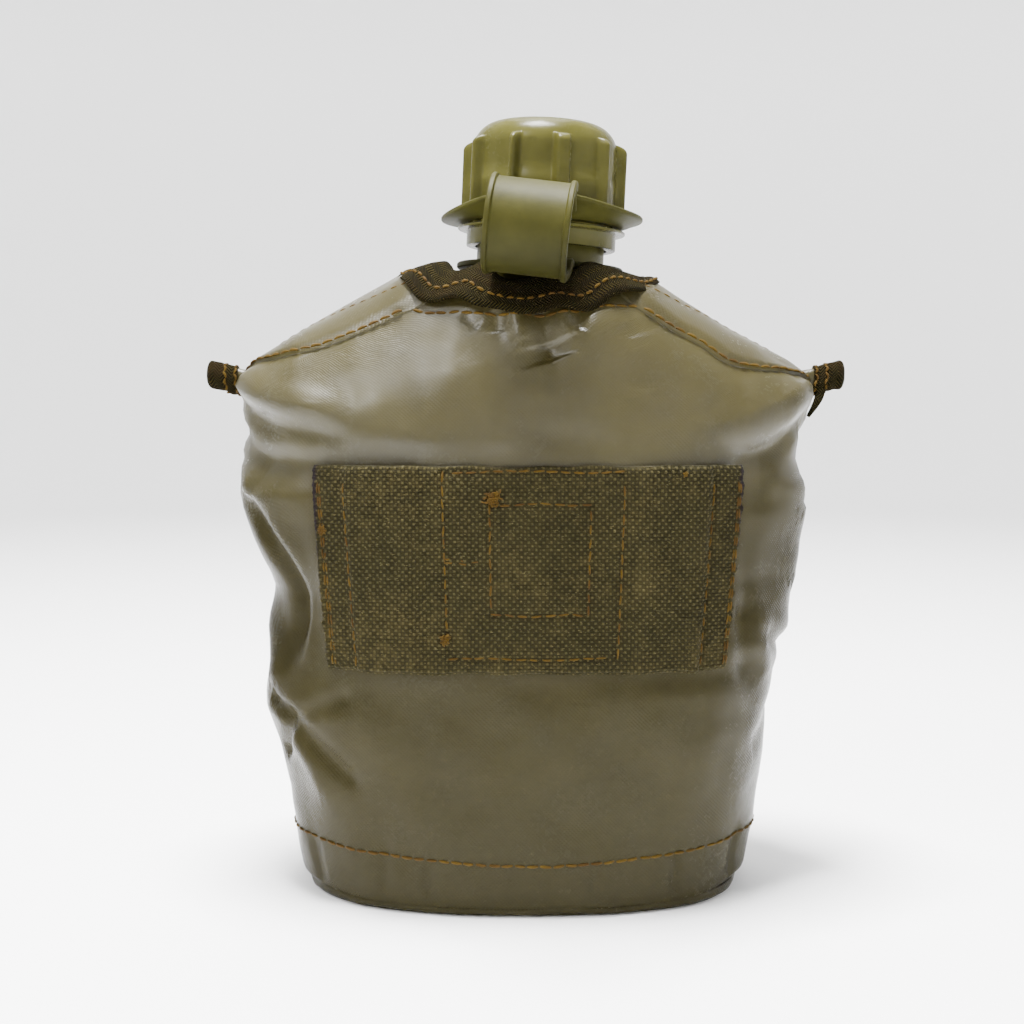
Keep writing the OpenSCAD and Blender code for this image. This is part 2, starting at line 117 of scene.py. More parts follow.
# The tether
RING_R = 26.6
RING_BORE = 19.5
RING_Z = 175.3
RING_T = 1.3
FRONT_LIFT = 5.0
STRAP_TURN = -5.0
STRAP_ROLL = 4.5
STRAP_W = 20.2
STRAP_T = 1.5
NECK_RING_Z = 163.4
NECK_RING_R = 22.0
LOOP_R = 11.3
LOOP_REACH = 50.0
LOOP_Z = 170.7

# The webbing
WEBBING_ANGLE = 42.5
WEBBING_Z = 62.9
WEBBING_W = 50.8
WEBBING_T = 1.9
TUNNEL_GAP = 1.6


# ---- small maths ------------------------------------------------------------
def mix(a, b, k):
    return a + (b - a) * k


def smooth(x):
    c = np.clip(x, 0.0, 1.0)
    return c * c * (3 - 2 * c)


def power(x, exponent):
    return np.sign(x) * np.abs(x) ** exponent


def squared_cos(u):
    """An angle's cosine, squared off to the cover's outline."""
    return power(np.cos(np.radians(u)), 2 / SQUARENESS)


def squared_sin(u):
    """An angle's sine, squared off to the cover's outline."""
    return power(np.sin(np.radians(u)), 2 / SQUARENESS)


def unit(vectors):
    return vectors / np.maximum(np.linalg.norm(vectors, axis=-1, keepdims=True), 1e-9)


def skin(u, v):
    """The frame's surface of the cover at each u and v."""
    u, v = np.broadcast_arrays(np.asarray(u, float), np.asarray(v, float))
    z = v * SHOULDER_Z
    foot = FOOT_TUCK * (1 - np.minimum(1, z / FOOT_ROUND)) ** 2
    shoulder_half_d = BASE_HALF_D + BELLY * math.sin(math.pi * SHOULDER_Z / BELLY_Z)
    crown_turn = np.radians(CROWN_ANGLE * (v - 1))
    crown = (1 - np.cos(crown_turn)) / (1 - math.cos(math.radians(CROWN_ANGLE)))
    rise = np.sin(crown_turn) / math.sin(math.radians(CROWN_ANGLE))
    low = v <= 1
    half_w = np.where(
        low,
        mix(BASE_HALF_W, SHOULDER_HALF_W, np.minimum(1, z / WIDEST_Z)) - foot,
        mix(SHOULDER_HALF_W, OPENING_HALF_W, v - 1),
    )
    half_d = np.where(
        low,
        BASE_HALF_D + BELLY * np.sin(np.pi * z / BELLY_Z) - foot * 0.7,
        mix(shoulder_half_d, OPENING_HALF_D, crown),
    )
    mid_z = np.where(low, mix(SEAM_Z, SHOULDER_Z, v), mix(SHOULDER_Z, OPENING_MID_Z, rise))
    side_z = np.where(
        low,
        mid_z + (CORNER_Z - SHOULDER_Z) * np.maximum(0, v) ** 5,
        mix(CORNER_Z, OPENING_SIDE_Z, v - 1),
    )
    height = mix(mid_z, side_z, np.cos(np.radians(u)) ** 2)
    return np.stack([half_w * squared_cos(u), half_d * squared_sin(u), height], -1)


def outward(u, v):
    """The surface's outward direction at each u and v."""
    across = skin(u + 0.5, v) - skin(u - 0.5, v)
    up = skin(u, np.add(v, 0.01)) - skin(u, np.subtract(v, 0.01))
    return unit(np.cross(across, up))


# ---- folds and creases of the cover -----------------------------------------
# Each fold is a line on the cover, its height in millimetres, negative for a
# valley, its width, and the form of its sides. A line's points are (angle, v)
# pairs, whose angles count from the webbing's middle, to the right.
SOFT, SHARP = 2.0, 1.0
FOLDS = [
    # under the left shoulder corner
    ([(-88, 0.985), (-62, 0.965), (-50, 0.975), (-36, 0.985)], -2.0, 2.6, SOFT),
    ([(-88, 1.015), (-66, 1.02), (-50, 1.045), (-34, 1.07)], 1.7, 4.5, SOFT),
    ([(-66, 1.13), (-45, 1.17), (-20, 1.2), (-6, 1.42)], 1.2, 10.0, SOFT),
    ([(-50, 0.972), (-38, 0.98), (-33, 0.985)], -0.5, 1.2, SHARP),
    # the pinch at the left side, and the long fold that runs down from it
    ([(-90, 0.895), (-76, 0.885), (-64, 0.86)], 3.0, 5.0, SOFT),
    ([(-96, 0.945), (-84, 0.935), (-74, 0.925)], -1.6, 3.0, SOFT),
    ([(-78, 0.84), (-66, 0.8), (-58, 0.71), (-56, 0.62), (-61, 0.53)], -3.2, 3.4, SOFT),
    ([(-60, 0.82), (-53, 0.72), (-51, 0.62), (-55, 0.52)], 1.5, 4.5, SOFT),
    ([(-100, 0.6), (-84, 0.58), (-72, 0.52), (-70, 0.46)], 2.2, 5.5, SOFT),
    # the pinch low on the left side, with creases out of it
    ([(-72, 0.44), (-58, 0.405)], -2.4, 2.0, SOFT),
    ([(-58, 0.405), (-66, 0.34), (-74, 0.3)], -2.0, 2.2, SOFT),
    ([(-58, 0.405), (-47, 0.33), (-38, 0.27)], -1.5, 2.4, SOFT),
    ([(-58, 0.405), (-45, 0.44), (-36, 0.47)], -1.0, 2.4, SOFT),
    ([(-62, 0.37), (-54, 0.31), (-48, 0.22)], 1.3, 4.0, SOFT),
    # under the right shoulder corner
    ([(36, 0.95), (46, 0.935), (56, 0.93), (68, 0.95), (80, 0.96)], -2.4, 2.8, SOFT),
    ([(58, 0.99), (74, 0.99), (88, 0.985)], 1.8, 4.0, SOFT),
    ([(48, 1.02), (60, 1.08), (74, 1.05)], 1.0, 6.0, SOFT),
    ([(74, 0.93), (86, 0.925), (96, 0.93)], -2.2, 3.0, SOFT),
    ([(52, 0.885), (66, 0.86), (84, 0.85)], 2.4, 5.0, SOFT),
    ([(80, 0.82), (84, 0.74), (80, 0.66)], 1.8, 8.0, SOFT),
    # low on the right side
    ([(98, 0.55), (84, 0.545), (70, 0.555), (60, 0.575)], -2.8, 2.8, SOFT),
    ([(50, 0.66), (46, 0.6), (47, 0.54), (54, 0.49)], -1.5, 3.2, SOFT),
    ([(56, 0.64), (60, 0.55), (66, 0.47)], 1.3, 5.0, SOFT),
    ([(88, 0.42), (72, 0.36), (60, 0.33)], -1.2, 4.0, SOFT),
    # puckers under the neck tape
    ([(-9, 1.84), (-8, 1.74), (-7, 1.66)], -0.7, 2.4, SOFT),
    ([(-3, 1.84), (-2, 1.72), (-1, 1.6)], 0.9, 2.2, SOFT),
    ([(3, 1.84), (4, 1.7), (5, 1.5)], -1.6, 3.0, SOFT),
    ([(11, 1.84), (10, 1.72), (11, 1.62)], 0.8, 2.4, SOFT),
    ([(17, 1.84), (15, 1.74), (13, 1.66)], -1.1, 2.2, SOFT),
    ([(-20, 1.82), (-16, 1.74), (-13, 1.7)], -0.5, 2.4, SOFT),
    ([(4, 1.6), (5, 1.48)], -1.6, 6.0, SOFT),
    ([(30, 1.7), (26, 1.45), (24, 1.25)], -0.7, 7.0, SOFT),
    # puckers of the hem
    ([(-21, 0.02), (-20, 0.1)], -0.9, 1.3, SOFT),
    ([(-33, 0.03), (-31, 0.16)], -0.7, 2.0, SOFT),
    ([(13, 0.02), (13, 0.11)], -0.6, 1.4, SOFT),
    ([(35, 0.02), (34, 0.12)], -0.9, 1.4, SOFT),
    ([(62, 0.02), (60, 0.14)], -0.8, 2.0, SOFT),
    ([(-58, 0.02), (-60, 0.13)], -0.8, 2.0, SOFT),
    # the front, where it hangs free below the flaps
    ([(112, 0.9), (128, 0.84), (140, 0.8)], -2.0, 4.0, SOFT),
    ([(118, 0.74), (126, 0.6), (122, 0.46)], 1.6, 6.0, SOFT),
    ([(150, 0.72), (165, 0.66), (188, 0.68)], -1.4, 7.0, SOFT),
    ([(-112, 0.88), (-126, 0.82), (-144, 0.8)], -2.0, 4.0, SOFT),
    ([(-118, 0.5), (-132, 0.4), (-150, 0.37)], -1.8, 4.0, SOFT),
    ([(-120, 0.34), (-126, 0.2), (-122, 0.1)], 1.2, 5.0, SOFT),
    ([(125, 0.3), (140, 0.22), (160, 0.2)], -1.2, 5.0, SOFT),
    ([(172, 0.44), (190, 0.38), (204, 0.4)], 0.9, 8.0, SOFT),
]


def along(points, count):
    """Points on a smooth line through a few points, a count of them for each part."""
    points = np.asarray(points, float)
    ends = np.vstack([2 * points[0] - points[1], points, 2 * points[-1] - points[-2]])
    out = []
    for i in range(len(points) - 1):
        a, b, c, d = ends[i : i + 4]
        for t in np.linspace(0, 1, count, endpoint=False):
            out.append(
                0.5 * (2 * b + (c - a) * t + (2 * a - 5 * b + 4 * c - d) * t**2
                       + (3 * b - a - 3 * c + d) * t**3)
            )
    out.append(points[-1])
    return np.array(out)


def on_cover(line, count=12):
    """A line of (angle, v) pairs as close points on the cover's surface."""
    route = along(line, count)
    return skin(270 + route[:, 0], route[:, 1])


FOLD_LINES = [on_cover(line) for line, *_ in FOLDS]

# How far the left and right sides stand out of the frame's outline, by height
SIDE_Z = [1, 9, 13, 18, 27, 36, 45, 49, 53, 58, 62, 67, 71, 75, 80, 84, 88, 93, 97, 101, 106, 110,
          114, 119, 124]
LEFT_OUT = [-2.2, -2.1, -1.9, -1.9, -1.7, -0.2, 1.3, 1.9, 1.3, -0.4, -1.8, -3.2, -3.8, -3.8, -3.8, -2.7,
            -1.3, 0.3, 1.3, 2.2, 2.4, -0.3, -2.8, -0.8, 0]
RIGHT_OUT = [-3.8, -3.8, -3.4, -2.3, -2.2, -1.4, -1.1, -1.6, -1.6, -1.6, -1.0, 0.9, 0, -0.8, -1.3, -2.2,
             -2.2, -2.3, -2.0, -1.8, -3.8, -5.0, -4.4, -1.8, 0]
# How far the ridge of each shoulder stands up, by distance from the middle
RIDGE_X = [28, 36, 46, 58, 68, 76]
LEFT_UP = [0.6, 1.0, 1.7, 2.2, 2.2, 0.8]
RIGHT_UP = [-1.2, -1.4, -0.9, 0.1, 1.0, 0.4]


def waves(points, length, seed, count=7):
    """A smooth random field from -1 to 1 whose waves are about a length long."""
    draw = np.random.default_rng(RANDOM_SEED + seed)
    total = np.zeros(points.shape[:-1])
    for _ in range(count):
        way = unit(draw.normal(size=3)) * 2 * np.pi / (length * draw.uniform(0.7, 1.5))
        total += np.sin(points @ way + draw.uniform(0, 2 * np.pi))
    return total / math.sqrt(count)


def under_webbing(points):
    """1 under the webbing and 0 a little way from it, where the cloth is loose."""
    low, high = WEBBING_Z - 1, WEBBING_Z + WEBBING_W + 1
    up = smooth((points[..., 2] - low + 6) / 6) * smooth((high + 6 - points[..., 2]) / 6)
    side = smooth((57.0 - np.abs(points[..., 0])) / 6)
    return up * side * (points[..., 1] < 0)


def on_ridge(points):
    """1 along the ridge of the shoulders, where the flaps fold."""
    return smooth((11 - np.abs(points[..., 1])) / 8) * smooth((points[..., 2] - 131) / 5)


def ridge_swell(points):
    """How far the shoulders' ridge stands above the frame's surface."""
    x, y, z = points[..., 0], points[..., 1], points[..., 2]
    rise = np.where(x < 0, np.interp(-x, RIDGE_X, LEFT_UP), np.interp(x, RIDGE_X, RIGHT_UP))
    return rise * smooth((z - 129) / 8) * smooth((30 - np.abs(y)) / 20)


def side_trim(points):
    """How far the cover's sides stand out of the frame's surface."""
    x, z = points[..., 0], points[..., 2]
    out = np.where(x < 0, np.interp(z, SIDE_Z, LEFT_OUT), np.interp(z, SIDE_Z, RIGHT_OUT))
    return out * smooth((np.abs(x) - 40) / 24)


def relief(points):
    """How far the loose cloth stands off the frame's surface."""
    flat = points.reshape(-1, 3)
    total = 0.75 * waves(flat, 55, 1) + 0.3 * waves(flat, 20, 2) + 0.06 * waves(flat, 7.5, 3, 9)
    for (_, height, width, edge), places in zip(FOLDS, FOLD_LINES):
        near = np.all(np.abs(flat - places.mean(0)) < np.ptp(places, axis=0) / 2 + 3.5 * width, axis=1)
        if not near.any():
            continue
        gaps = np.linalg.norm(flat[near][:, None] - places[None], axis=2)
        nearest = gaps.argmin(1) / (len(places) - 1)
        ends = smooth(0.35 + nearest / 0.3) * smooth(0.35 + (1 - nearest) / 0.3)
        total[near] += height * np.exp(-((gaps.min(1) / width) ** edge)) * ends
    total *= 1 - 0.97 * under_webbing(flat)
    total *= 1 - 0.9 * on_ridge(flat)
    total *= 1 - 0.7 * smooth((flat[:, 2] - 98) / 6) * (flat[:, 1] > 0)
    total *= smooth((flat[:, 2] - 0.4) / 5)
    total += side_trim(flat) + ridge_swell(flat)
    return total.reshape(points.shape[:-1])


def drape(u, v, off=0.0):
    """Points of the loose cloth at each u and v, at a distance out from its face."""
    base = skin(u, v)
    lift = relief(base) + off
    return base + lift[..., None] * outward(u, v)


# ---- meshes from grids ------------------------------------------------------
def grid_faces(rows, cols, first=0, flip=False, ring=False):
    """The faces between the neighbours of a grid of points, as rows of indices."""
    last = cols if ring else cols - 1
    i, j = np.meshgrid(np.arange(rows - 1), np.arange(last), indexing="ij")
    k = (j + 1) % cols
    quads = np.stack([i * cols + j, i * cols + k, (i + 1) * cols + k, (i + 1) * cols + j], -1)
    quads = quads.reshape(-1, 4) + first
    return quads[:, ::-1] if flip else quads


def new_piece(name, points, faces, chart=None, crease=None):
    """A smooth-shaded object from points in millimetres and faces, with its chart
    of the cloth in centimetres as its UV map, and sharp past an angle in degrees."""
    mesh = bpy.data.meshes.new(name)
    mesh.from_pydata((np.asarray(points) * MM).tolist(), [], [list(map(int, f)) for f in faces])
    mesh.update()
    if chart is not None:
        layer = mesh.uv_layers.new(name="cloth")
        loops = np.empty(len(mesh.loops), int)
        mesh.loops.foreach_get("vertex_index", loops)
        layer.data.foreach_set("uv", np.asarray(chart, float)[loops].ravel())
    mesh.shade_smooth()
    if crease:
        mesh.set_sharp_from_angle(angle=math.radians(crease))
    piece = bpy.data.objects.new(name, mesh)
    bpy.context.scene.collection.objects.link(piece)
    return piece


def chart_of(grid):
    """Lengths along a grid's columns and rows, in centimetres."""
    across = np.zeros(grid.shape[:2])
    across[:, 1:] = np.cumsum(np.linalg.norm(np.diff(grid, axis=1), axis=2), axis=1)
    across -= across[:, grid.shape[1] // 2][:, None]
    up = np.zeros(grid.shape[:2])
    up[1:] = np.cumsum(np.linalg.norm(np.diff(grid, axis=0), axis=2), axis=0)
    return np.stack([across, up], -1) / 10


def facing(grid):
    """The direction that a grid's face looks, where columns run to the right."""
    across = np.gradient(grid, axis=1)
    up = np.gradient(grid, axis=0)
    return unit(np.cross(across, up))


def shell(name, outer, inner, chart=None):
    """A closed sheet between two grids of points."""
    rows, cols = outer.shape[:2]
    count = rows * cols
    faces = [grid_faces(rows, cols), grid_faces(rows, cols, count, flip=True)]
    index = np.arange(count).reshape(rows, cols)
    rim = np.concatenate([index[0], index[1:, -1], index[-1, -2::-1], index[-2:0:-1, 0]])
    nxt = np.roll(rim, -1)
    faces.append(np.stack([rim + count, nxt + count, nxt, rim], -1))
    chart = chart_of(outer) if chart is None else chart
    both = np.concatenate([chart.reshape(-1, 2)] * 2)
    points = np.concatenate([outer.reshape(-1, 3), inner.reshape(-1, 3)])
    return new_piece(name, points, np.concatenate(faces), both)


def lean(points):
    """Points of the upright bottle, turned to the way that it leans."""
    p = np.array(points, float)
    x, z = p[..., 0].copy(), p[..., 2] - LEAN_Z
    p[..., 0] = x * math.cos(LEAN) + z * math.sin(LEAN)
    p[..., 2] = z * math.cos(LEAN) - x * math.sin(LEAN) + LEAN_Z
    return p


def turned(name, radii, heights, angles, centre_ends=True):
    """A closed turned piece: grids of radii and heights, one column per angle, with
    a flat end at each side or, for a ring, its last row joined to its first."""
    turn = np.radians(angles)
    grid = np.stack([radii * np.cos(turn), radii * np.sin(turn), heights + 0 * radii], -1)
    rows, cols = grid.shape[:2]
    faces = grid_faces(rows, cols, ring=True).tolist()
    points = lean(grid).reshape(-1, 3)
    last = (rows - 1) * cols
    j = np.arange(cols)
    k = (j + 1) % cols
    if centre_ends:
        ends = lean([[0, 0, grid[0, :, 2].mean()], [0, 0, grid[-1, :, 2].mean()]])
        points = np.vstack([points, ends])
        faces += np.stack([k, j, np.full(cols, rows * cols)], -1).tolist()
        faces += np.stack([last + j, last + k, np.full(cols, rows * cols + 1)], -1).tolist()
    else:
        faces += np.stack([last + j, last + k, k, j], -1).tolist()
    return new_piece(name, points, faces, crease=CREASE)


def finish_piece(piece, material, slot, body, *nodes):
    """Gives a piece its material and its body, and hides the nodes it stands for. The slot is not used."""
    piece.data.materials.append(material)
    if body:
        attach(piece, body)
    if nodes:
        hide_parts(*nodes)
    return piece


# ---- shader expressions -----------------------------------------------------
class Wire:
    """A shader socket that sums and products can be written with."""

    def __init__(self, shader, socket):
        self.shader = shader
        self.socket = socket

    def __add__(self, other):
        return self.shader.math("ADD", self, other)

    __radd__ = __add__

    def __mul__(self, other):
        return self.shader.math("MULTIPLY", self, other)

    __rmul__ = __mul__

    def __sub__(self, other):
        return self.shader.math("SUBTRACT", self, other)

    def __rsub__(self, other):
        return self.shader.math("SUBTRACT", other, self)

    def __truediv__(self, other):
        return self.shader.math("DIVIDE", self, other)

    def __pow__(self, other):
        return self.shader.math("POWER", self, other)

    def __abs__(self):
        return self.shader.math("ABSOLUTE", self)

    def sine(self):
        return self.shader.math("SINE", self)

    def fraction(self):
        return self.shader.math("FRACT", self)

    def highest(self, other):
        return self.shader.math("MAXIMUM", self, other)


def socket_name(word):
    """The Principled shader's own name for a socket written in small letters."""
    return word.replace("_", " ").title().replace("Ior", "IOR")


class Shader:
    """One material's nodes round its Principled shader."""

    def __init__(self, name, **plain):
        self.material = bpy.data.materials.new(name)
        self.material.use_nodes = True
        self.tree = self.material.node_tree
        self.surface = self.tree.nodes["Principled BSDF"]
        for socket, value in plain.items():
            self.surface.inputs[socket_name(socket)].default_value = value

    def node(self, kind, settings=None, inputs=None, out=0):
        made = self.tree.nodes.new("ShaderNode" + kind)
        for key, value in (settings or {}).items():
            setattr(made, key, value)
        for key, value in (inputs or {}).items():
            if isinstance(value, Wire):
                self.tree.links.new(value.socket, made.inputs[key])
            else:
                made.inputs[key].default_value = value
        return Wire(self, made.outputs[out])

    def math(self, operation, *values):
        return self.node("Math", {"operation": operation}, dict(enumerate(values)))

    def place(self):
        return self.node("TexCoord", out="Object")

    def cloth(self):
        chart = self.node("UVMap", {"uv_map": "cloth"})
        return self.node("SeparateXYZ", inputs={0: chart}), self.node("SeparateXYZ", inputs={0: chart}, out=1)

    def height(self):
        return self.node("SeparateXYZ", inputs={0: self.place()}, out=2)

    def sideways(self):
        return abs(self.node("SeparateXYZ", inputs={0: self.place()}))

    def noise(self, size, detail=3.0, rough=0.55, where=None, stretch=(1, 1, 1)):
        """Noise whose spots are about a size across, in metres."""
        at = self.node("Mapping", inputs={"Vector": where or self.place(), "Scale": stretch})
        inputs = {"Vector": at, "Scale": 1 / size, "Detail": detail, "Roughness": rough}
        return self.node("TexNoise", inputs=inputs)

    def band(self, value, low, high, to_low=0.0, to_high=1.0):
        """A value's smooth way from one range to another, held at its ends."""
        settings = {"interpolation_type": "SMOOTHSTEP"}
        return self.node("MapRange", settings, {"Value": value, "From Min": low, "From Max": high,
                                                "To Min": to_low, "To Max": to_high})

    def tint(self, factor, a, b, blend="MIX"):
        settings = {"data_type": "RGBA", "blend_type": blend}
        return self.node("Mix", settings, {0: factor, 6: a, 7: b}, out=2)

    def bump(self, height, distance, strength=1.0, over=None):
        inputs = {"Height": height, "Distance": distance, "Strength": strength}
        if over is not None:
            inputs["Normal"] = over
        return self.node("Bump", inputs=inputs)

    def feed(self, **wires):
        for socket, wire in wires.items():
            self.tree.links.new(wire.socket, self.surface.inputs[socket_name(socket)])
        return self.material


def colour(red, green, blue):
    return (red, green, blue, 1.0)


TURN = 2 * math.pi


def coated_cloth(name, settings):
    """Fine plain-woven cloth under a worn olive coating."""
    s = Shader(name, specular_ior_level=0.05, coat_ior=1.5, coat_roughness=0.34)
    across, up = s.cloth()
    weave = (across * (TURN / settings.thread)).sine() * (up * (TURN / settings.thread)).sine()
    ribs = (up * (TURN / (settings.thread * 0.5))).sine()
    blotch = s.noise(0.045, 4, 0.6)
    cloud = s.noise(0.016, 5, 0.65)
    grain = s.noise(0.0011, 3, 0.6)
    scuff = s.band(s.noise(0.006, 6, 0.75, stretch=(1, 1, 0.6)), 0.62, 0.74)
    low = s.band(s.height(), 0.055, 0.0)
    # below the shoulders the cloth hangs slack and without its gloss, and its colour is darkened there as
    # painted shade
    hanging = s.band(s.height(), 0.117, 0.092)
    body = s.tint(s.band(blotch, 0.3, 0.7), settings.coating, settings.coating_light)
    body = s.tint(s.band(cloud, 0.35, 0.75, 0, 0.45), body, settings.coating_dark)
    body = s.tint(low * 0.4, body, settings.coating_dark)
    body = s.tint(hanging * 0.5, body, settings.coating_painted_shade)
    body = s.tint(scuff * s.band(s.height(), 0.03, 0.006, 0.06, 0.5), body, colour(0.1, 0.09, 0.055))
    fleck = s.band(s.noise(0.0022, 2, 0.5), 0.73, 0.78)
    body = s.tint(fleck * s.band(blotch, 0.5, 0.62, 0, 0.8), body, colour(0.02, 0.02, 0.012))
    body = s.tint((weave * 0.5 + 0.5) * 0.16, body, colour(0.03, 0.03, 0.015))
    rough = 0.17 + cloud * 0.12 + grain * 0.06
    first = s.bump(weave * 0.5 + ribs * 0.1 + grain * 0.6, 0.00013, 0.65)
    # painted shade: the flanks below the shoulders are darkened further, and their gloss is cut
    flank = s.band(s.sideways(), 0.05, 0.07) * hanging
    body = s.tint(flank * 0.45, body, settings.coating_painted_shade)
    gloss = (0.44 - hanging * 0.38) * (0.7 + cloud * 0.6) * (1 - flank * 0.95)
    normal = s.bump(cloud, 0.0012, 0.45, first)
    return s.feed(base_color=body, roughness=rough, coat_weight=gloss, normal=normal)


def herringbone(name, settings):
    """Olive-brown herringbone tape, worn brown in its high places."""
    s = Shader(name, roughness=0.95, specular_ior_level=0.04)
    across, up = s.cloth()
    side = abs((up / 0.32).fraction() - 0.5) * 2
    twill = ((across / 0.085 + side * 1.9) * TURN).sine()
    yarn = s.noise(0.0007, 3, 0.7)
    # painted shade: the hollows between the twill's ribs are coloured almost black
    body = s.tint(twill * 0.5 + 0.5, settings.tape_dark, settings.tape)
    body = s.tint(s.band(s.noise(0.007, 4, 0.6), 0.45, 0.7, 0, 0.6), body, settings.tape_worn)
    body = s.tint(yarn * 0.35, body, settings.tape_dark)
    return s.feed(base_color=body, normal=s.bump(twill * 0.7 + yarn, 0.00035, 1.0))


def woven_webbing(name, settings):
    """Coarse cotton webbing with dark, singed ends."""
    s = Shader(name, roughness=0.95, specular_ior_level=0.1)
    across, up = s.cloth()
    yarn = s.noise(0.0005, 3, 0.7, stretch=(0.6, 1, 1.8))
    stray = s.noise(0.0022, 2, 0.5) * 0.05 - 0.025
    across = across + stray
    up = up + stray
    fade = s.noise(0.02, 3, 0.6)
    over = (across * (TURN / 0.18) + TURN / 4).sine() * (up * (TURN / 0.18) + TURN / 4).sine()
    columns = abs((across / 0.09 + 0.5).fraction() - 0.5) * 2
    courses = abs((up / 0.09 + 0.5).fraction() - 0.5) * 2
    groove = columns.highest(courses) ** 2.4
    body = s.tint(s.band(fade, 0.35, 0.7, 0.15, 0.75), settings.webbing_dark, settings.webbing)
    body = s.tint(s.band(over, 0.1, 0.9, 0, 0.3) * yarn * 2, body, settings.webbing_light)
    uneven = s.band(s.noise(0.0019, 2, 0.5), 0.35, 0.65)
    # painted shade: the grooves between the yarns are darkened
    body = s.tint(groove * (uneven * 0.5 + 0.5), body, colour(0.004, 0.0035, 0.0015))
    # painted shade: the weave's hollows are darkened
    body = s.tint(s.band(over, 0.0, -0.8, 0, 0.45) * uneven, body, colour(0.006, 0.005, 0.002))
    body = s.tint(uneven * 0.3, body, settings.webbing_dark)
    body = s.tint(yarn * 0.5, body, settings.webbing_dark)
    dust = s.band(s.noise(0.0016, 4, 0.8), 0.66, 0.74, 0, 0.5)
    body = s.tint(dust, body, colour(0.07, 0.052, 0.025))
    fleck = s.band(s.noise(0.0006, 2, 0.6, stretch=(0.6, 1, 1.6)), 0.64, 0.72, 0, 0.6)
    body = s.tint(fleck, body, colour(0.085, 0.072, 0.03))
    ends = s.band(abs(across + s.noise(0.004, 3) * 0.12 - 0.06), settings.webbing_half - 0.15,
                  settings.webbing_half - 0.06)
    body = s.tint(ends, body, colour(0.009, 0.0065, 0.0072))
    return s.feed(base_color=body, normal=s.bump(yarn - groove * 0.8, 0.0003, 0.9))


def sewing_thread(name, tone, dark):
    """Heavy twisted thread."""
    s = Shader(name, roughness=0.8, specular_ior_level=0.1)
    tuft = s.noise(0.0008, 2, 0.6)
    wear = s.band(s.noise(0.009, 3, 0.6), 0.4, 0.66)
    body = s.tint(tuft, s.tint(wear, tone, dark), dark)
    return s.feed(base_color=body, normal=s.bump(tuft, 0.0002, 0.8))


# The heights, in metres, down which the tether's colour is darkened as painted shade
TETHER_PAINTED_SHADE_Z = (0.174, 0.16)


def shaded(tone, part):
    return colour(*(channel * part for channel in tone[:3]))


def moulded_plastic(name, tone, dark, rough, sheen_bump=0.00004, shine=0.07, painted_shade_z=None):
    """Olive polyethylene with soft flow marks."""
    s = Shader(name, specular_ior_level=shine)
    flow = s.noise(0.012, 4, 0.6)
    mark = s.noise(0.0009, 4, 0.7)
    grime = s.band(s.noise(0.005, 5, 0.7), 0.55, 0.75, 0, 0.35)
    body = s.tint(s.band(flow, 0.3, 0.7), tone, dark)
    body = s.tint(grime, body, shaded(dark, 0.55))
    if painted_shade_z:
        # painted shade: the plastic is darker down the given heights
        body = s.tint(s.band(s.height(), *painted_shade_z) * 0.7, body, shaded(dark, 0.3))
    return s.feed(
        base_color=body,
        roughness=rough + flow * 0.1 + mark * 0.08,
        normal=s.bump(mark + flow * 2, sheen_bump, 0.7),
    )


def worn_metal(name, tone, bare, metallic, rough):
    """Blackened or dull metal, rubbed bare in spots."""
    s = Shader(name)
    rub = s.band(s.noise(0.0025, 5, 0.7), 0.6, 0.7)
    body = s.tint(rub, tone, bare)
    return s.feed(base_color=body, metallic=rub * (1 - metallic) + metallic,
                  roughness=rough + s.noise(0.001, 3) * 0.15,
                  normal=s.bump(s.noise(0.0012, 4, 0.7), 0.00005, 0.6))


def dense_rubber(name):
    s = Shader(name, roughness=0.7)
    spots = s.noise(0.0015, 3)
    return s.feed(base_color=s.tint(spots, colour(0.012, 0.012, 0.012), colour(0.03, 0.03, 0.03)),
                  normal=s.bump(spots, 0.0001, 0.5))


MATERIALS = {}


def material(key):
    """The material of a finish, made once from the panel's settings."""
    if key not in MATERIALS:
        cloth = bpy.context.scene.canteen_cloth
        plastic = bpy.context.scene.canteen_plastic
        MATERIALS[key] = {
            "cloth": lambda: coated_cloth("coated_cloth", cloth),
            "tape": lambda: herringbone("herringbone_tape", cloth),
            "webbing": lambda: woven_webbing("basket_webbing", cloth),
            "thread": lambda: sewing_thread("brown_thread", cloth.thread_colour, colour(0.03, 0.015, 0.002)),
            "worn_thread": lambda: sewing_thread("worn_thread", colour(0.016, 0.009, 0.002),
                                                 colour(0.003, 0.0022, 0.001)),
            "cap": lambda: moulded_plastic("moulded_olive", plastic.cap, plastic.cap_dark, 0.17),
            "bottle": lambda: moulded_plastic("blown_olive", plastic.cap, plastic.cap_dark, 0.32, 0.00008),
            "tether": lambda: moulded_plastic("tether_olive", plastic.tether, plastic.tether_dark, 0.42,
                                              shine=0.05, painted_shade_z=TETHER_PAINTED_SHADE_Z),
            "snap": lambda: worn_metal("blackened_metal", colour(0.012, 0.012, 0.01),
                                       colour(0.25, 0.2, 0.12), 0.4, 0.35),
            "brass": lambda: worn_metal("dull_brass", colour(0.25, 0.17, 0.06),
                                        colour(0.12, 0.09, 0.04), 0.9, 0.35),
            "seal": lambda: dense_rubber("seal_rubber"),
        }[key]()
    return MATERIALS[key]


# ---- thread -----------------------------------------------------------------
STITCH_SIDES = 6
STITCH_RINGS = 6


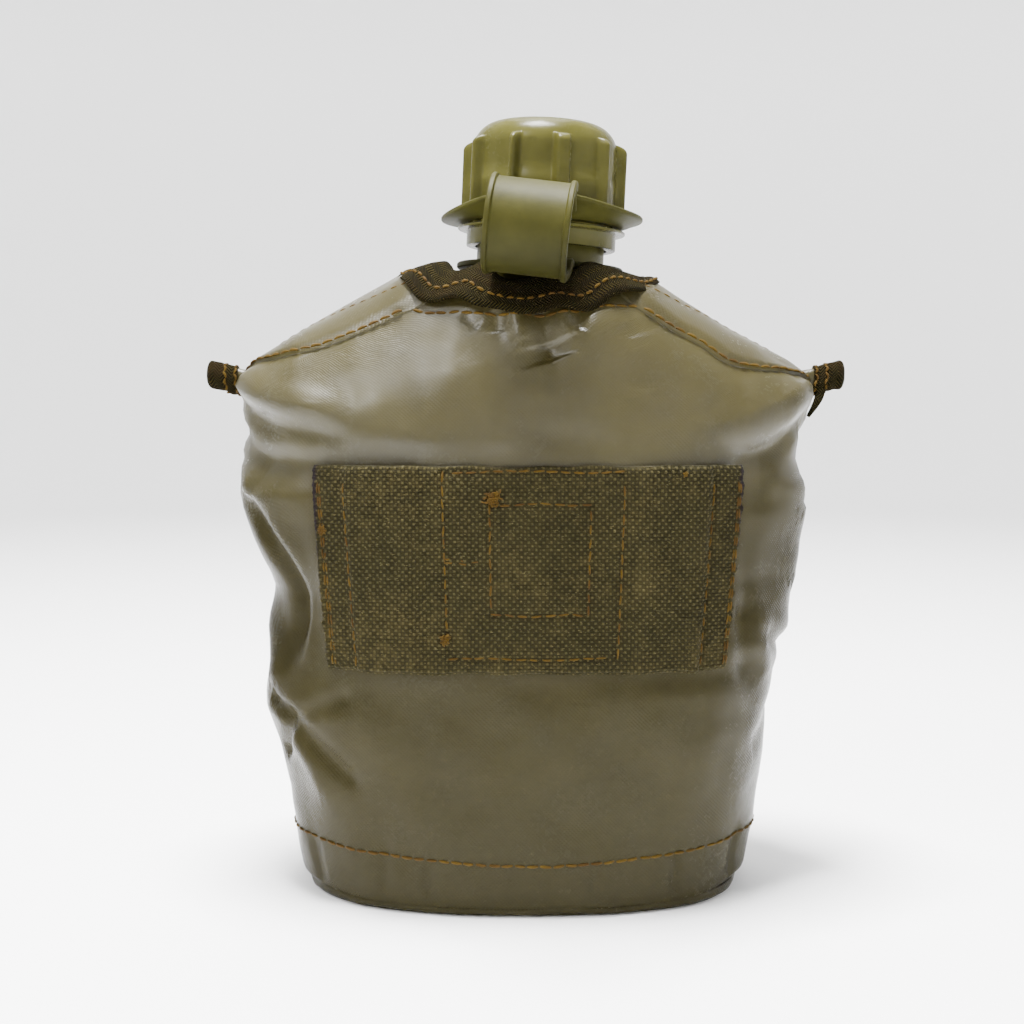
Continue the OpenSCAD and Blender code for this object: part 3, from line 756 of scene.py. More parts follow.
def stitches(name, rows, pitch=3.2, part=0.74, thick=0.36, sink=0.35):
    """A run of lockstitches on each row, a row being points and outward ways."""
    points, faces = [], []
    draw = np.random.default_rng(RANDOM_SEED + len(name))
    ring = np.linspace(0, 2 * np.pi, STITCH_SIDES, endpoint=False)
    for path, ways in rows:
        path, ways = np.asarray(path), np.asarray(ways)
        gone = np.concatenate([[0], np.cumsum(np.linalg.norm(np.diff(path, axis=0), axis=1))])
        for i in range(max(1, int(gone[-1] / pitch))):
            start = i * pitch + draw.uniform(-0.06, 0.06) * pitch
            reach = pitch * part * draw.uniform(0.94, 1.06)
            at = start + reach * np.linspace(0, 1, STITCH_RINGS)
            centre = np.stack([np.interp(at, gone, path[:, k]) for k in range(3)], -1)
            way = unit(np.stack([np.interp(at, gone, ways[:, k]) for k in range(3)], -1))
            swell = np.sin(np.linspace(0.1, np.pi - 0.1, STITCH_RINGS)) ** 0.6
            forward = unit(np.gradient(centre, axis=0))
            side = unit(np.cross(way, forward))
            yaw = draw.uniform(-0.12, 0.12) * np.linspace(-1, 1, STITCH_RINGS)[:, None] * reach * 0.5
            centre = centre + way * ((swell * (sink + 0.25 * thick) - sink)[:, None]) + side * yaw
            size = thick * (0.5 + 0.5 * swell) * draw.uniform(0.92, 1.08)
            first = len(points)
            for middle, out, across, radius in zip(centre, way, side, size):
                points += [middle + radius * (out * math.sin(t) * 0.85 + across * math.cos(t)) for t in ring]
            points += [centre[0] - forward[0] * 0.1, centre[-1] + forward[-1] * 0.1]
            quads = grid_faces(STITCH_RINGS, STITCH_SIDES, first, flip=True, ring=True)
            faces += [list(q) for q in quads]
            tip = first + STITCH_RINGS * STITCH_SIDES
            last = tip - STITCH_SIDES
            for k in range(STITCH_SIDES):
                n = (k + 1) % STITCH_SIDES
                faces.append([first + k, first + n, tip])
                faces.append([last + n, last + k, tip + 1])
    return new_piece(name, np.array(points), faces)


def cloth_row(line, off, count=10):
    """A row on the loose cloth along a line of (angle, v) pairs."""
    route = along(line, count)
    u = 270 + route[:, 0]
    return drape(u, route[:, 1], off), outward(u, route[:, 1])


# ---- the cover's panels -----------------------------------------------------
SIDE_GAP = 0.35
PANEL_COLUMNS = 230
BACK_ROWS = 170
FRONT_ROWS = 130
FRONT_TOP = 1.3


def panel(name, from_u, to_u, to_v, rows, *nodes):
    """A side of the cover from its base up to a height."""
    u = np.linspace(from_u + SIDE_GAP, to_u - SIDE_GAP, PANEL_COLUMNS)
    v = np.linspace(0, to_v, rows)
    grid = drape(*np.meshgrid(u, v))
    piece = shell(name, grid, grid - CLOTH_T * facing(grid))
    return finish_piece(piece, material("cloth"), "coated_fabric", "cover", *nodes)


def base_outline(u, inset):
    """The foot's outline, a distance in from its edge."""
    x = (BASE_HALF_W - FOOT_TUCK - inset) * squared_cos(u)
    x = x + np.where(x < 0, -LEFT_OUT[0], RIGHT_OUT[0]) * smooth((np.abs(x) - 40) / 24)
    return np.stack([x, (BASE_HALF_D - FOOT_TUCK * 0.7 - inset) * squared_sin(u)], -1)


RIM_W = 3.0
BASE_STEP = 1.2
DRAIN_HOLE_R = 4.2


def base_cloth():
    """The base: a flat sewn rim that the canteen stands on, and a panel set in it."""
    u = np.linspace(0, 360, 181)
    inner_round = DRAIN_HOLE_R * np.stack([np.cos(np.radians(u)), np.sin(np.radians(u))], -1)
    rows = [(0.0, 0.35), (0.6, 0.02), (1.4, 0.0), (RIM_W - 0.5, 0.0), (RIM_W, 0.3), (RIM_W + 0.6, BASE_STEP)]
    grid = [np.column_stack([base_outline(u, inset), np.full(len(u), z)]) for inset, z in rows]
    start = base_outline(u, RIM_W + 0.6)
    for k in np.linspace(0.06, 1, 16):
        flat = mix(start, inner_round, k)
        ripple = 0.25 * waves(np.column_stack([flat, 0 * u]), 22, 5) * math.sin(math.pi * k)
        grid.append(np.column_stack([flat, BASE_STEP + 0.1 + ripple]))
    grid = np.array(grid)
    grid[:, -1] = grid[:, 0]
    inner = grid + np.array([0, 0, CLOTH_T])
    piece = shell("base_cloth", grid[:, ::-1], inner[:, ::-1])
    return finish_piece(piece, material("cloth"), "coated_fabric", "cover", "base_panel")


def base_welt():
    """The sewn edge that stands a little proud all round the foot."""
    u = np.linspace(0, 360, 361)
    section = [(1.0, 0.5), (0.2, 0.25), (-0.55, 0.7), (-0.75, 1.5), (-0.5, 2.4), (0.05, 3.0), (0.9, 3.1)]
    place = np.column_stack([base_outline(u, 0), 0 * u])
    wobble = waves(place, 17, 6) * 0.5 + waves(place, 6, 7) * 0.16
    wobble[-1] = wobble[0]
    grid = []
    for inset, z in section:
        loose = wobble * (z > 0.6)
        grid.append(np.column_stack([base_outline(u, inset - 0.25 * loose), z + loose]))
    grid = np.array(grid)
    piece = shell("foot_welt", grid, grid - 0.5 * facing(grid))
    finish_piece(piece, material("cloth"), "coated_fabric", "cover")
    path = np.column_stack([base_outline(u, -0.35 - 0.2 * wobble), 2.75 + wobble])
    way = unit(path * [1 / BASE_HALF_W**2, 1 / BASE_HALF_D**2, 0])
    piece = stitches("foot_stitches", [(path, way)], pitch=2.4, part=0.95, thick=0.26, sink=0.1)
    finish_piece(piece, material("worn_thread"), "thread", "cover")


# ---- tapes ------------------------------------------------------------------
TAPE_T = 0.75
NECK_TAPE_ANGLE = 79.0


def neck_tape_grid():
    """The tape folded over the neck rim, gathered in soft waves."""
    a = np.linspace(-NECK_TAPE_ANGLE, NECK_TAPE_ANGLE, 260)
    u = 270 + a
    top = skin(u, np.full(len(u), 2.0))
    out = outward(u, np.full(len(u), 1.97))
    up = unit(skin(u, 2.0) - skin(u, 1.9))
    gather = np.sin(a / 5.2 + 0.8 * np.sin(a / 17)) * smooth((84 - np.abs(a)) / 20)
    crest = 2.4 + 3.0 * np.exp(-(((a + 50) / 9) ** 2)) + 4.6 * np.exp(-(((a + 26) / 10) ** 2))
    crest += 3.4 * np.exp(-(((a - 35) / 15) ** 2)) + 0.5 * gather
    crest *= 1 - np.where(a < 0, 0.6 * smooth((-a - 56) / 18), 0.95 * smooth((a - 44) / 20))
    crest -= 2.4 * smooth((a - 54) / 18)
    stand = 1 - 0.3 * smooth((a - 52) / 16)
    drop = 8.4 + 0.5 * np.sin(a / 9) + 0.9 * np.sin(a / 3.1 + 1) * np.exp(-((a / 25) ** 2))
    drop *= 1 - 0.45 * smooth((np.abs(a) - 42) / 30)
    rows = []
    stack = [(-1.0, 2.1), (-0.82, 2.3), (-0.62, 2.45), (-0.42, 2.5), (-0.22, 2.3), (-0.08, 2.05),
             (0.05, 1.5), (0.1, 0.4), (0.08, -1.0), (-0.04, -1.9), (-0.25, -2.2), (-0.55, -2.3),
             (-0.85, -2.3)]
    for fall, off in stack:
        sway = gather * (0.35 + 0.8 * abs(fall)) if off > 0 else gather * 0.3
        place = top + up * (fall * drop + crest * (1 - min(1, abs(fall)) * 0.7))[:, None]
        rows.append(place + out * ((off + sway) * stand)[:, None])
    return np.array(rows), out


def neck_tape():
    grid, _ = neck_tape_grid()
    piece = shell("neck_tape", grid, grid - TAPE_T * facing(grid))
    return finish_piece(piece, material("tape"), "binding_tape", "cover", "neck_binding")


# ---- flaps ------------------------------------------------------------------
FLAP_FRONT_U = 78.0
FLAP_FOLD_U = 1.0
FLAP_CORNER_Q = 0.5
HEM_V = 0.8
FLAP_STAND = 2.55
FLAP_REST = 0.2
FLAP_COLUMNS = 72
FLAP_ROWS = 44
HEM_ROWS = 40
YOKE_COLUMNS = 30


def below(q):
    """0 down to a flap's corner, then up to 1 at its hem."""
    return np.maximum(0, (q - FLAP_CORNER_Q) / (1 - FLAP_CORNER_Q))


def flap_u(p, q):
    front = FLAP_FRONT_U - 6 * below(q) ** 2
    return mix(front, FLAP_FOLD_U + 26 * below(q) ** 0.8, p)


def flap_v(p, q):
    return np.where(
        q <= FLAP_CORNER_Q,
        mix(2, 1, np.minimum(q, FLAP_CORNER_Q) / FLAP_CORNER_Q),
        mix(1, HEM_V + 0.1 * np.abs(2 * p - 1) ** 2.5, below(q)),
    )


def flap_stand(p, q):
    """How far a flap's cloth stands off the panel that it lies on."""
    return FLAP_REST + FLAP_STAND * smooth((1 - p) / 0.35) * smooth(q / 0.3) + 0.6 * below(q)


def flap_point(p, q, off=0.0, side=1):
    """A place on the right flap: p runs from its front edge to the fold along the
    shoulder, q from the neck rim down to its hem."""
    p, q = np.broadcast_arrays(np.asarray(p, float), np.asarray(q, float))
    u, v = flap_u(p, q), flap_v(p, q)
    base = skin(u, v)
    sway = 0.45 * waves(base, 30, 8) + 0.15 * waves(base, 12, 9)
    lift = flap_stand(p, q) + off + sway * smooth((1 - p) / 0.4) + ridge_swell(base * [side, 1, 1])
    return base + lift[..., None] * outward(u, v)


# The seams that join the yokes to the back
SEAM_V = np.array([1.0, 1.06, 1.12, 1.2, 1.29, 1.36, 1.46, 1.54, 1.64, 1.72, 1.78, 1.84, 2.0])
SEAM_ANGLE = {
    -1: np.array([88.0, 84.0, 79.5, 72.5, 65.0, 61.0, 57.0, 54.0, 50.0, 46.5, 42.0, 41.0, 41.0]),
    1: np.array([89.0, 82.5, 75.0, 66.5, 58.5, 55.0, 53.5, 51.0, 46.0, 43.0, 41.0, 40.0, 40.0]),
}
SEAM_MARGIN = 1.6


def seam_angle(v, side):
    """A shoulder seam's angle from the webbing's middle at each v."""
    return np.interp(v, SEAM_V, SEAM_ANGLE[side])


def yoke_relief(points, from_fold):
    """The cloth's relief beside a fold, where it eases into the ridge."""
    ridge = ridge_swell(points) + side_trim(points)
    return (relief(points) - ridge) * smooth(from_fold / 12) + ridge


def flap_grid(side, off):
    """A flap's cloth from its front edge to the fold, then the yoke behind the fold,
    as rows from the neck down. Rows below the corner have no yoke."""
    q = np.concatenate([np.linspace(0.012, FLAP_CORNER_Q, FLAP_ROWS),
                        np.linspace(FLAP_CORNER_Q, 1, HEM_ROWS)[1:]])
    flap = flap_point(*np.meshgrid(np.linspace(0, 1, FLAP_COLUMNS), q), off, side)
    reach = np.linspace(0, 1, YOKE_COLUMNS)[1:]
    v = flap_v(1.0, q)
    stop = 90 - seam_angle(v, side) + SEAM_MARGIN
    u = FLAP_FOLD_U - reach[None, :] * (stop[:, None] + FLAP_FOLD_U)
    v = np.repeat(v[:, None], len(reach), 1)
    base = skin(u, v)
    tuck = smooth((1 - reach[None, :]) / 0.22)
    edge = 0.12 if off else -0.9
    lift = mix(edge, FLAP_REST + off, tuck) + yoke_relief(base * [side, 1, 1], -u)
    yoke = base + lift[..., None] * outward(u, v)
    grid = np.concatenate([flap, yoke], axis=1) * [side, 1, 1]
    keep = np.ones(grid.shape[:2], bool)
    keep[FLAP_ROWS:, FLAP_COLUMNS:] = False
    if side < 0:
        grid, keep = grid[:, ::-1], keep[:, ::-1]
    return grid, keep


def shoulder_flap(side):
    """The flap and its yoke in one cloth, which folds along the shoulder."""
    outer, keep = flap_grid(side, CLOTH_T)
    inner, _ = flap_grid(side, 0.0)
    rows, cols = keep.shape
    quads = grid_faces(rows, cols)
    quads = quads[keep.ravel()[quads].all(1)]
    count = rows * cols
    edges = np.concatenate([quads[:, [k, (k + 1) % 4]] for k in range(4)])
    there = set(map(tuple, edges.tolist()))
    rim = [[b, a, a + count, b + count] for a, b in edges.tolist() if (b, a) not in there]
    faces = quads.tolist() + (quads[:, ::-1] + count).tolist() + rim
    points = np.concatenate([outer.reshape(-1, 3), inner.reshape(-1, 3)])
    used = np.unique(np.concatenate([np.ravel(f) for f in (quads, quads + count)]))
    index = np.full(2 * count, -1)
    index[used] = np.arange(len(used))
    faces = [[int(index[i]) for i in face] for face in faces]
    chart = np.concatenate([chart_of(outer).reshape(-1, 2)] * 2)[used]
    name = side_name(side, "shoulder_flap")
    piece = new_piece(name, points[used], faces, chart)
    body = side_name(side, "flap")
    finish_piece(piece, material("cloth"), "coated_fabric", None, body, side_name(side, "flap_yoke"))
    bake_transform(piece)


def side_name(side, name):
    return ("right_" if side > 0 else "left_") + name


def edge_path(inset):
    """The bound edge of a flap, from the fold at the neck round to its corner."""
    def line(a, b, count):
        return np.linspace(a, b, count, endpoint=False)

    runs = [
        (line(0.9, inset, 44), inset),
        (inset, line(0.06, 0.92, 60)),
        (line(inset + 0.03, 1 - inset - 0.03, 60), 1 - inset),
        (1 - inset, line(0.93, 0.58, 24)),
    ]
    return np.concatenate([np.stack(np.broadcast_arrays(*run), -1) for run in runs])


def rounded(path, times=5):
    """A path with its corners eased, its ends held."""
    path = path.copy()
    for _ in range(times):
        path[1:-1] = 0.25 * path[:-2] + 0.5 * path[1:-1] + 0.25 * path[2:]
    return path


def flap_tape_grid(side, section):
    """A flap's tape, from a section of (inset, height off the cloth, underneath)."""
    rows = []
    for inset, off, low in section:
        path = rounded(edge_path(inset))
        p, q = path[:, 0], path[:, 1]
        gather = 0.18 * np.sin(np.arange(len(p)) / 2.6)
        lift = CLOTH_T + off + gather if not low else -np.minimum(off, flap_stand(p, q) - 0.12)
        rows.append(flap_point(p, q, lift, side))
    grid = np.array(rows) * [side, 1, 1]
    return grid[::-1] if side > 0 else grid


FLAP_TAPE = [
    (0.085, 0.35, False), (0.065, 0.62, False), (0.03, 0.7, False), (0.004, 0.6, False),
    (-0.012, 0.15, False),
    (-0.013, 0.1, True), (0.004, 0.4, True), (0.035, 0.45, True), (0.07, 0.4, True),
]


def flap_tape(side):
    grid = flap_tape_grid(side, FLAP_TAPE)
    piece = shell(side_name(side, "flap_tape"), grid, grid - 0.25 * facing(grid))
    body = side_name(side, "flap")
    finish_piece(piece, material("tape"), "binding_tape", body, side_name(side, "flap_binding"))


def flap_stitches(side):
    row = flap_tape_grid(side, [(0.055, 0.68, False), (0.054, 0.68, False)])[0][4:-2]
    u_v = rounded(edge_path(0.055))[4:-2]
    way = outward(flap_u(u_v[:, 0], u_v[:, 1]), flap_v(u_v[:, 0], u_v[:, 1])) * [side, 1, 1]
    piece = stitches(side_name(side, "flap_stitches"), [(row, way)])
    finish_piece(piece, material("thread"), "thread", side_name(side, "flap"))


def tube(name, sections, crease=None):
    """A closed tube through closed sections that all have as many points."""
    sections = np.asarray(sections, float)
    rows, cols = sections.shape[:2]
    faces = grid_faces(rows, cols, ring=True).tolist()
    points = np.vstack([sections.reshape(-1, 3), sections[0].mean(0), sections[-1].mean(0)])
    for j in range(cols):
        k = (j + 1) % cols
        faces.append([k, j, rows * cols])
        faces.append([(rows - 1) * cols + j, (rows - 1) * cols + k, rows * cols + 1])
    volume = sum(
        np.dot(points[f[0]], np.cross(points[f[i]], points[f[i + 1]]))
        for f in faces
        for i in range(1, len(f) - 1)
    )
    if volume < 0:
        faces = [f[::-1] for f in faces]
    turn = chart_of(sections).reshape(-1, 2)
    chart = np.vstack([turn, turn[0], turn[-1]])
    return new_piece(name, points, faces, chart, crease)


EAR_START = 74.2
EAR_LENGTH = 11.0
EAR_HALF_D = 2.5
EAR_ANGLES = np.linspace(0, 2 * np.pi, 48, endpoint=False)


def ear_section(side, s, shrink=0.0):
    """A section of the rolled tape end that stands out of a shoulder corner."""
    tip = max(0.1, math.sqrt(max(0.0, 1 - max(0.0, (s - 0.82) / 0.18) ** 3)))
    waist = 1 - 0.05 * math.exp(-(((s - 0.3) / 0.06) ** 2)) - 0.05 * math.exp(-(((s - 0.55) / 0.06) ** 2))
    top = (3.1 + 1.0 * s) * tip * waist - shrink
    bottom = (4.6 - 1.1 * float(smooth(np.float64((s - 0.3) / 0.5)))) * tip * waist - shrink
    half_d = EAR_HALF_D * tip * waist - shrink
    up = power(np.sin(EAR_ANGLES), 0.85)
    y = half_d * power(np.cos(EAR_ANGLES), 0.85)
    x = EAR_START + EAR_LENGTH * s - np.maximum(0, -up) * (1 - s)
    z = CORNER_Z + 0.9 + 1.2 * s + np.where(up > 0, top, bottom) * up
    return np.stack([side * x, y - 0.8 * (1 - s), z], -1)


def twist(piece):
    """A corner's tape stays sewn to the cover at its root; this bakes the piece's placement into its mesh."""
    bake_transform(piece)


def ear(side):
    """A shoulder's corner: a stub of cloth with the rolled end of the tape on it."""
    steps = np.concatenate([np.linspace(0.22, 0.7, 24), np.linspace(0.72, 1, 14)])
    sections = np.array([ear_section(side, s) for s in steps])
    away = unit(sections - sections.mean(1, keepdims=True))
    sections += 0.14 * waves(sections, 4, 12 + side)[..., None] * away
    piece = tube(side_name(side, "tape_ear"), sections)
    finish_piece(piece, material("tape"), "binding_tape", None, side_name(side, "binding_tail"))
    twist(piece)
    stub = np.array([ear_section(side, s, 0.55) for s in np.linspace(-0.35, 0.32, 16)])
    stub += 0.12 * waves(stub, 6, 15 + side)[..., None] * unit(stub - stub.mean(1, keepdims=True))
    piece = tube(side_name(side, "ear_stub"), stub)
    finish_piece(piece, material("cloth"), "coated_fabric", None)
    twist(piece)
    rows = []
    for s in (0.27, 0.52):
        ring = np.roll(ear_section(side, s), -8, axis=0)[:34]
        way = unit((ring - ear_section(side, s).mean(0)) * [0, 1, 1])
        zigzag = 0.3 * np.sin(np.arange(len(ring)) * 1.3)[:, None] * [1, 0, 0]
        rows.append((ring + 0.12 * way + zigzag, way))
    threads = stitches(side_name(side, "ear_stitches"), rows, pitch=2.0, part=0.9, thick=0.32, sink=0.2)
    finish_piece(threads, material("thread"), "thread", None)
    twist(threads)


def ear_tail():
    """The end of the tape that hangs behind the right corner."""
    path = along([(78.3, -2.4, 132.6), (77.8, -2.9, 130.2), (76.6, -3.3, 127.8), (74.9, -3.6, 125.2)], 8)
    way = unit(np.gradient(path, axis=0))
    across = unit(np.cross(way, [0.3, 1, 0.2]))
    turn = np.linspace(0, 2 * np.pi, 24, endpoint=False)
    grid = []
    for i, (spot, side, run) in enumerate(zip(path, across, way)):
        flat = np.cross(side, run)
        wide = 1.5 * (1 - 0.7 * i / len(path))
        grid.append([spot + wide * math.cos(t) * side + 0.6 * math.sin(t) * flat for t in turn])
    piece = tube("right_tape_tail", grid)
    finish_piece(piece, material("tape"), "binding_tape", "cover")


# ---- belt webbing -----------------------------------------------------------
WEBBING_COLUMNS = 298
WEBBING_ROWS = 166
WEFT_PITCH = 0.9
WARP_PITCH = 1.8
# How many of the weave's raised crowns have a height of their own, each way
CROWNS = (97, 89)
# The angles between which the webbing stands off the cover for a belt's keeper
TUNNEL = (17.0, 35.0)
# Sewn rows down the webbing, as angles, and the two boxes sewn in its middle
END_ROWS = (-40.3, -33.2, 34.2, 41.0)
OUTER_BOX = (-13.0, 15.3, 66.7, 112.3)
INNER_BOX = (-5.1, 9.4, 77.4, 104.4)
JOG_Z = 91.0


def webbing_low(angle):
    """How far the webbing's back stands off the cover, most in its two tunnels."""
    a = np.abs(angle)
    tunnel = smooth((a - TUNNEL[0]) / 3) * smooth((TUNNEL[1] - a) / 3)
    return 0.1 + TUNNEL_GAP * tunnel


def webbing_v(angle, z):
    """The place up the cover at which its surface is at a height."""
    rise = (CORNER_Z - SHOULDER_Z) * np.cos(np.radians(270 + angle)) ** 2
    v = (z - SEAM_Z) / (SHOULDER_Z - SEAM_Z)
    for _ in range(12):
        v = (z - SEAM_Z - rise * np.maximum(0, v) ** 5) / (SHOULDER_Z - SEAM_Z)
    return v


def webbing_point(angle, z, off):
    """A place on the webbing, a distance out from its back."""
    angle, z = np.broadcast_arrays(np.asarray(angle, float), np.asarray(z, float))
    u = 270 + angle
    v = webbing_v(angle, z)
    return skin(u, v) + (webbing_low(angle) + off)[..., None] * outward(u, v)


def belt_webbing():
    angle = np.linspace(-WEBBING_ANGLE, WEBBING_ANGLE, WEBBING_COLUMNS)
    z = np.linspace(WEBBING_Z, WEBBING_Z + WEBBING_W, WEBBING_ROWS)
    aa, zz = np.meshgrid(angle, z)
    aa = aa * (1 - 0.025 * (aa < 0) * (zz - WEBBING_Z) / WEBBING_W)
    flat = webbing_point(aa, zz, np.zeros(aa.shape))
    chart = chart_of(flat)
    bpy.context.scene.canteen_cloth.webbing_half = float(np.abs(chart[..., 0]).max())
    x, y = chart[..., 0] * 10, chart[..., 1] * 10
    wander = 0.12 * waves(flat, 14, 21)
    bumps = np.zeros(x.shape)
    uneven = np.random.default_rng(RANDOM_SEED + 25).uniform(0.45, 1.15, CROWNS)
    for shift in (0.0, 0.5):
        dx = (x + wander) / WARP_PITCH + shift
        dy = (y + wander) / (2 * WEFT_PITCH) + shift
        gap = ((dx - np.round(dx)) / 0.47) ** 2 + ((dy - np.round(dy)) / 0.245) ** 2
        size = uneven[np.round(dx).astype(int) % CROWNS[0], np.round(dy).astype(int) % CROWNS[1]]
        bumps = np.maximum(bumps, size * np.sqrt(np.maximum(0, 1 - gap)))
    weave = 0.5 * bumps * (1 + 0.25 * waves(flat, 3, 22))
    pull = np.zeros(aa.shape)
    for row in END_ROWS:
        pull += 0.4 * np.exp(-(((aa - row) / 0.8) ** 2))
    for left, right, low, high in (OUTER_BOX, INNER_BOX):
        tall = smooth((zz - low + 1) / 1) * smooth((high + 1 - zz) / 1)
        wide = smooth((aa - left + 0.5) / 0.5) * smooth((right + 0.5 - aa) / 0.5)
        for place in (left, right):
            pull += 0.35 * np.exp(-(((aa - place) / 0.6) ** 2)) * tall
        for place in (low, high):
            pull += 0.35 * np.exp(-(((zz - place) / 0.8) ** 2)) * wide
    edge = np.minimum(zz - WEBBING_Z, WEBBING_Z + WEBBING_W - zz)
    selvedge = 0.5 * (1 - smooth(edge / 0.9))
    ends = 1 - smooth((WEBBING_ANGLE - np.abs(aa)) / 0.8)
    fray = ends * 0.35 * waves(flat, 2.2, 23)
    top = webbing_point(aa, zz + 0.25 * waves(flat, 11, 24) * (1 - smooth(edge / 3)),
                        WEBBING_T - 0.3 + weave - pull - selvedge - 0.5 * ends + fray)
    piece = shell("belt_webbing_cloth", top, flat, chart)
    finish_piece(piece, material("webbing"), "webbing", "cover", "belt_webbing")


def webbing_row(from_angle, from_z, to_angle, to_z, count=60):
    """A straight row of sewing on the webbing, which wavers where it runs across."""
    angle, z = np.linspace(from_angle, to_angle, count), np.linspace(from_z, to_z, count)
    drift = 0.25 * np.sin(np.linspace(0, 9, count) + from_angle)
    across = abs(to_angle - from_angle) > 1
    place = webbing_point(angle, z + drift * across, np.full(count, WEBBING_T - 0.3))
    return place, outward(270 + angle, webbing_v(angle, z))


def webbing_stitches():
    low, high = WEBBING_Z + 1.2, WEBBING_Z + WEBBING_W - 1.2
    rows = [webbing_row(a, low, a, high) for a in END_ROWS]
    rows.append(webbing_row(END_ROWS[0] + 0.9, low, END_ROWS[0] + 0.6, high))
    rows.append(webbing_row(END_ROWS[3] + 0.8, low, END_ROWS[3] + 0.6, high))
    for left, right, bottom, top in (OUTER_BOX, INNER_BOX):
        rows += [webbing_row(left, top, left, bottom), webbing_row(left, bottom, right, bottom),
                 webbing_row(right, bottom, right, top), webbing_row(right, top, left, top)]
    rows += [webbing_row(OUTER_BOX[0], JOG_Z, INNER_BOX[0], JOG_Z - 0.6),
             webbing_row(OUTER_BOX[0], JOG_Z - 0.9, INNER_BOX[0], JOG_Z - 1.2)]
    piece = stitches("webbing_stitches", rows, pitch=3.3, part=0.74, thick=0.27, sink=0.25)
    finish_piece(piece, material("thread"), "thread", "cover")


# Each knot's angle, height and size
KNOTS = [(-4.6, 106.0, 2.2), (-13.4, 71.5, 1.6), (-39.6, 97.5, 1.5), (27.0, 111.5, 0.8)]


def thread_knots():
    """Tufts where the sewing was tied off."""
    draw = np.random.default_rng(RANDOM_SEED + 40)
    rows = []
    for angle, z, size in KNOTS:
        for _ in range(int(30 * size)):
            turn, reach = draw.uniform(0, 2 * np.pi), size * draw.uniform(0.2, 0.7)
            start = draw.uniform(-0.5, 0.5, 2) * size
            t = np.linspace(0, 1, 8)
            bend = draw.uniform(-2.6, 2.6)
            da = start[0] + reach * t * np.cos(turn + bend * t)
            dz = start[1] + reach * t * np.sin(turn + bend * t)
            off = WEBBING_T + 0.1 + draw.uniform(0.1, 0.9) * size * 0.5 * np.sin(np.pi * t)
            place = webbing_point(angle + da * 0.8, z + dz, off)
            rows.append((place, outward(270 + angle + da, webbing_v(angle + da, z + dz))))
    piece = stitches("thread_knots", rows, pitch=1.1, part=1.15, thick=0.2, sink=0.0)
    finish_piece(piece, material("thread"), "thread", "cover")


# ---- sewing of the cover ----------------------------------------------------
UPPER_SEAM = [(52, 1.955), (60, 1.87), (70, 1.72), (80, 1.5), (86, 1.2)]
NECK_SEAM = [(-42, 1.772), (-36, 1.768), (-22, 1.8), (-8, 1.79), (8, 1.79), (25, 1.815), (42, 1.785)]
HEM_ANGLES = [0, 35, 65, 90]
HEM_AT = [0.105, 0.117, 0.131, 0.134]


def cover_stitches():
    rows = []
    top = FLAP_REST + CLOTH_T - 0.25
    for side in (-1, 1):
        v = np.linspace(1.012, 1.77, 70)
        seam = np.stack([side * seam_angle(v, side), v], -1)
        upper = along([(side * a, v) for a, v in UPPER_SEAM], 14)
        for line in (seam, upper):
            u, v = 270 + line[:, 0], line[:, 1]
            lift = top + yoke_relief(skin(u, v), 90 - np.abs(line[:, 0]))
            rows.append((skin(u, v) + lift[:, None] * outward(u, v), outward(u, v)))
    rows.append(cloth_row(NECK_SEAM, 0.02))
    for start in (-89, 91):
        angles = np.linspace(start, start + 178, 30)
        from_middle = np.minimum(np.abs(angles), np.abs(180 - angles))
        rows.append(cloth_row(np.stack([angles, np.interp(from_middle, HEM_ANGLES, HEM_AT)], -1), 0.05, 8))
    piece = stitches("cover_stitches", rows, part=0.84, thick=0.42, sink=0.2)
    finish_piece(piece, material("thread"), "thread", "cover")


def neck_tape_stitches():
    grid, out = neck_tape_grid()
    piece = stitches("neck_tape_stitches", [(grid[2] + 0.05 * out, out)], pitch=2.6, thick=0.4)
    finish_piece(piece, material("thread"), "thread", "cover")


# ---- cap and tether ---------------------------------------------------------
CAP_COLUMNS = 480
WIDE_RIB = 4.6
SLIM_RIB = 2.7
RIB_EDGE = 0.22


def rib_mask(angles):
    """1 on the grip ribs' crests and 0 between them, with filleted sides."""
    mask = np.zeros(len(angles))
    for i in range(RIB_COUNT):
        half = (WIDE_RIB if i % 5 == 0 else SLIM_RIB) / 2
        gap = (angles - RIB_FIRST - 360 * i / RIB_COUNT + 180) % 360 - 180
        dist = np.abs(np.radians(gap)) * RIB_R
        mask = np.maximum(mask, 1 / (1 + np.exp(np.clip((dist - half + 0.25) / RIB_EDGE, -40, 40))))
    return mask


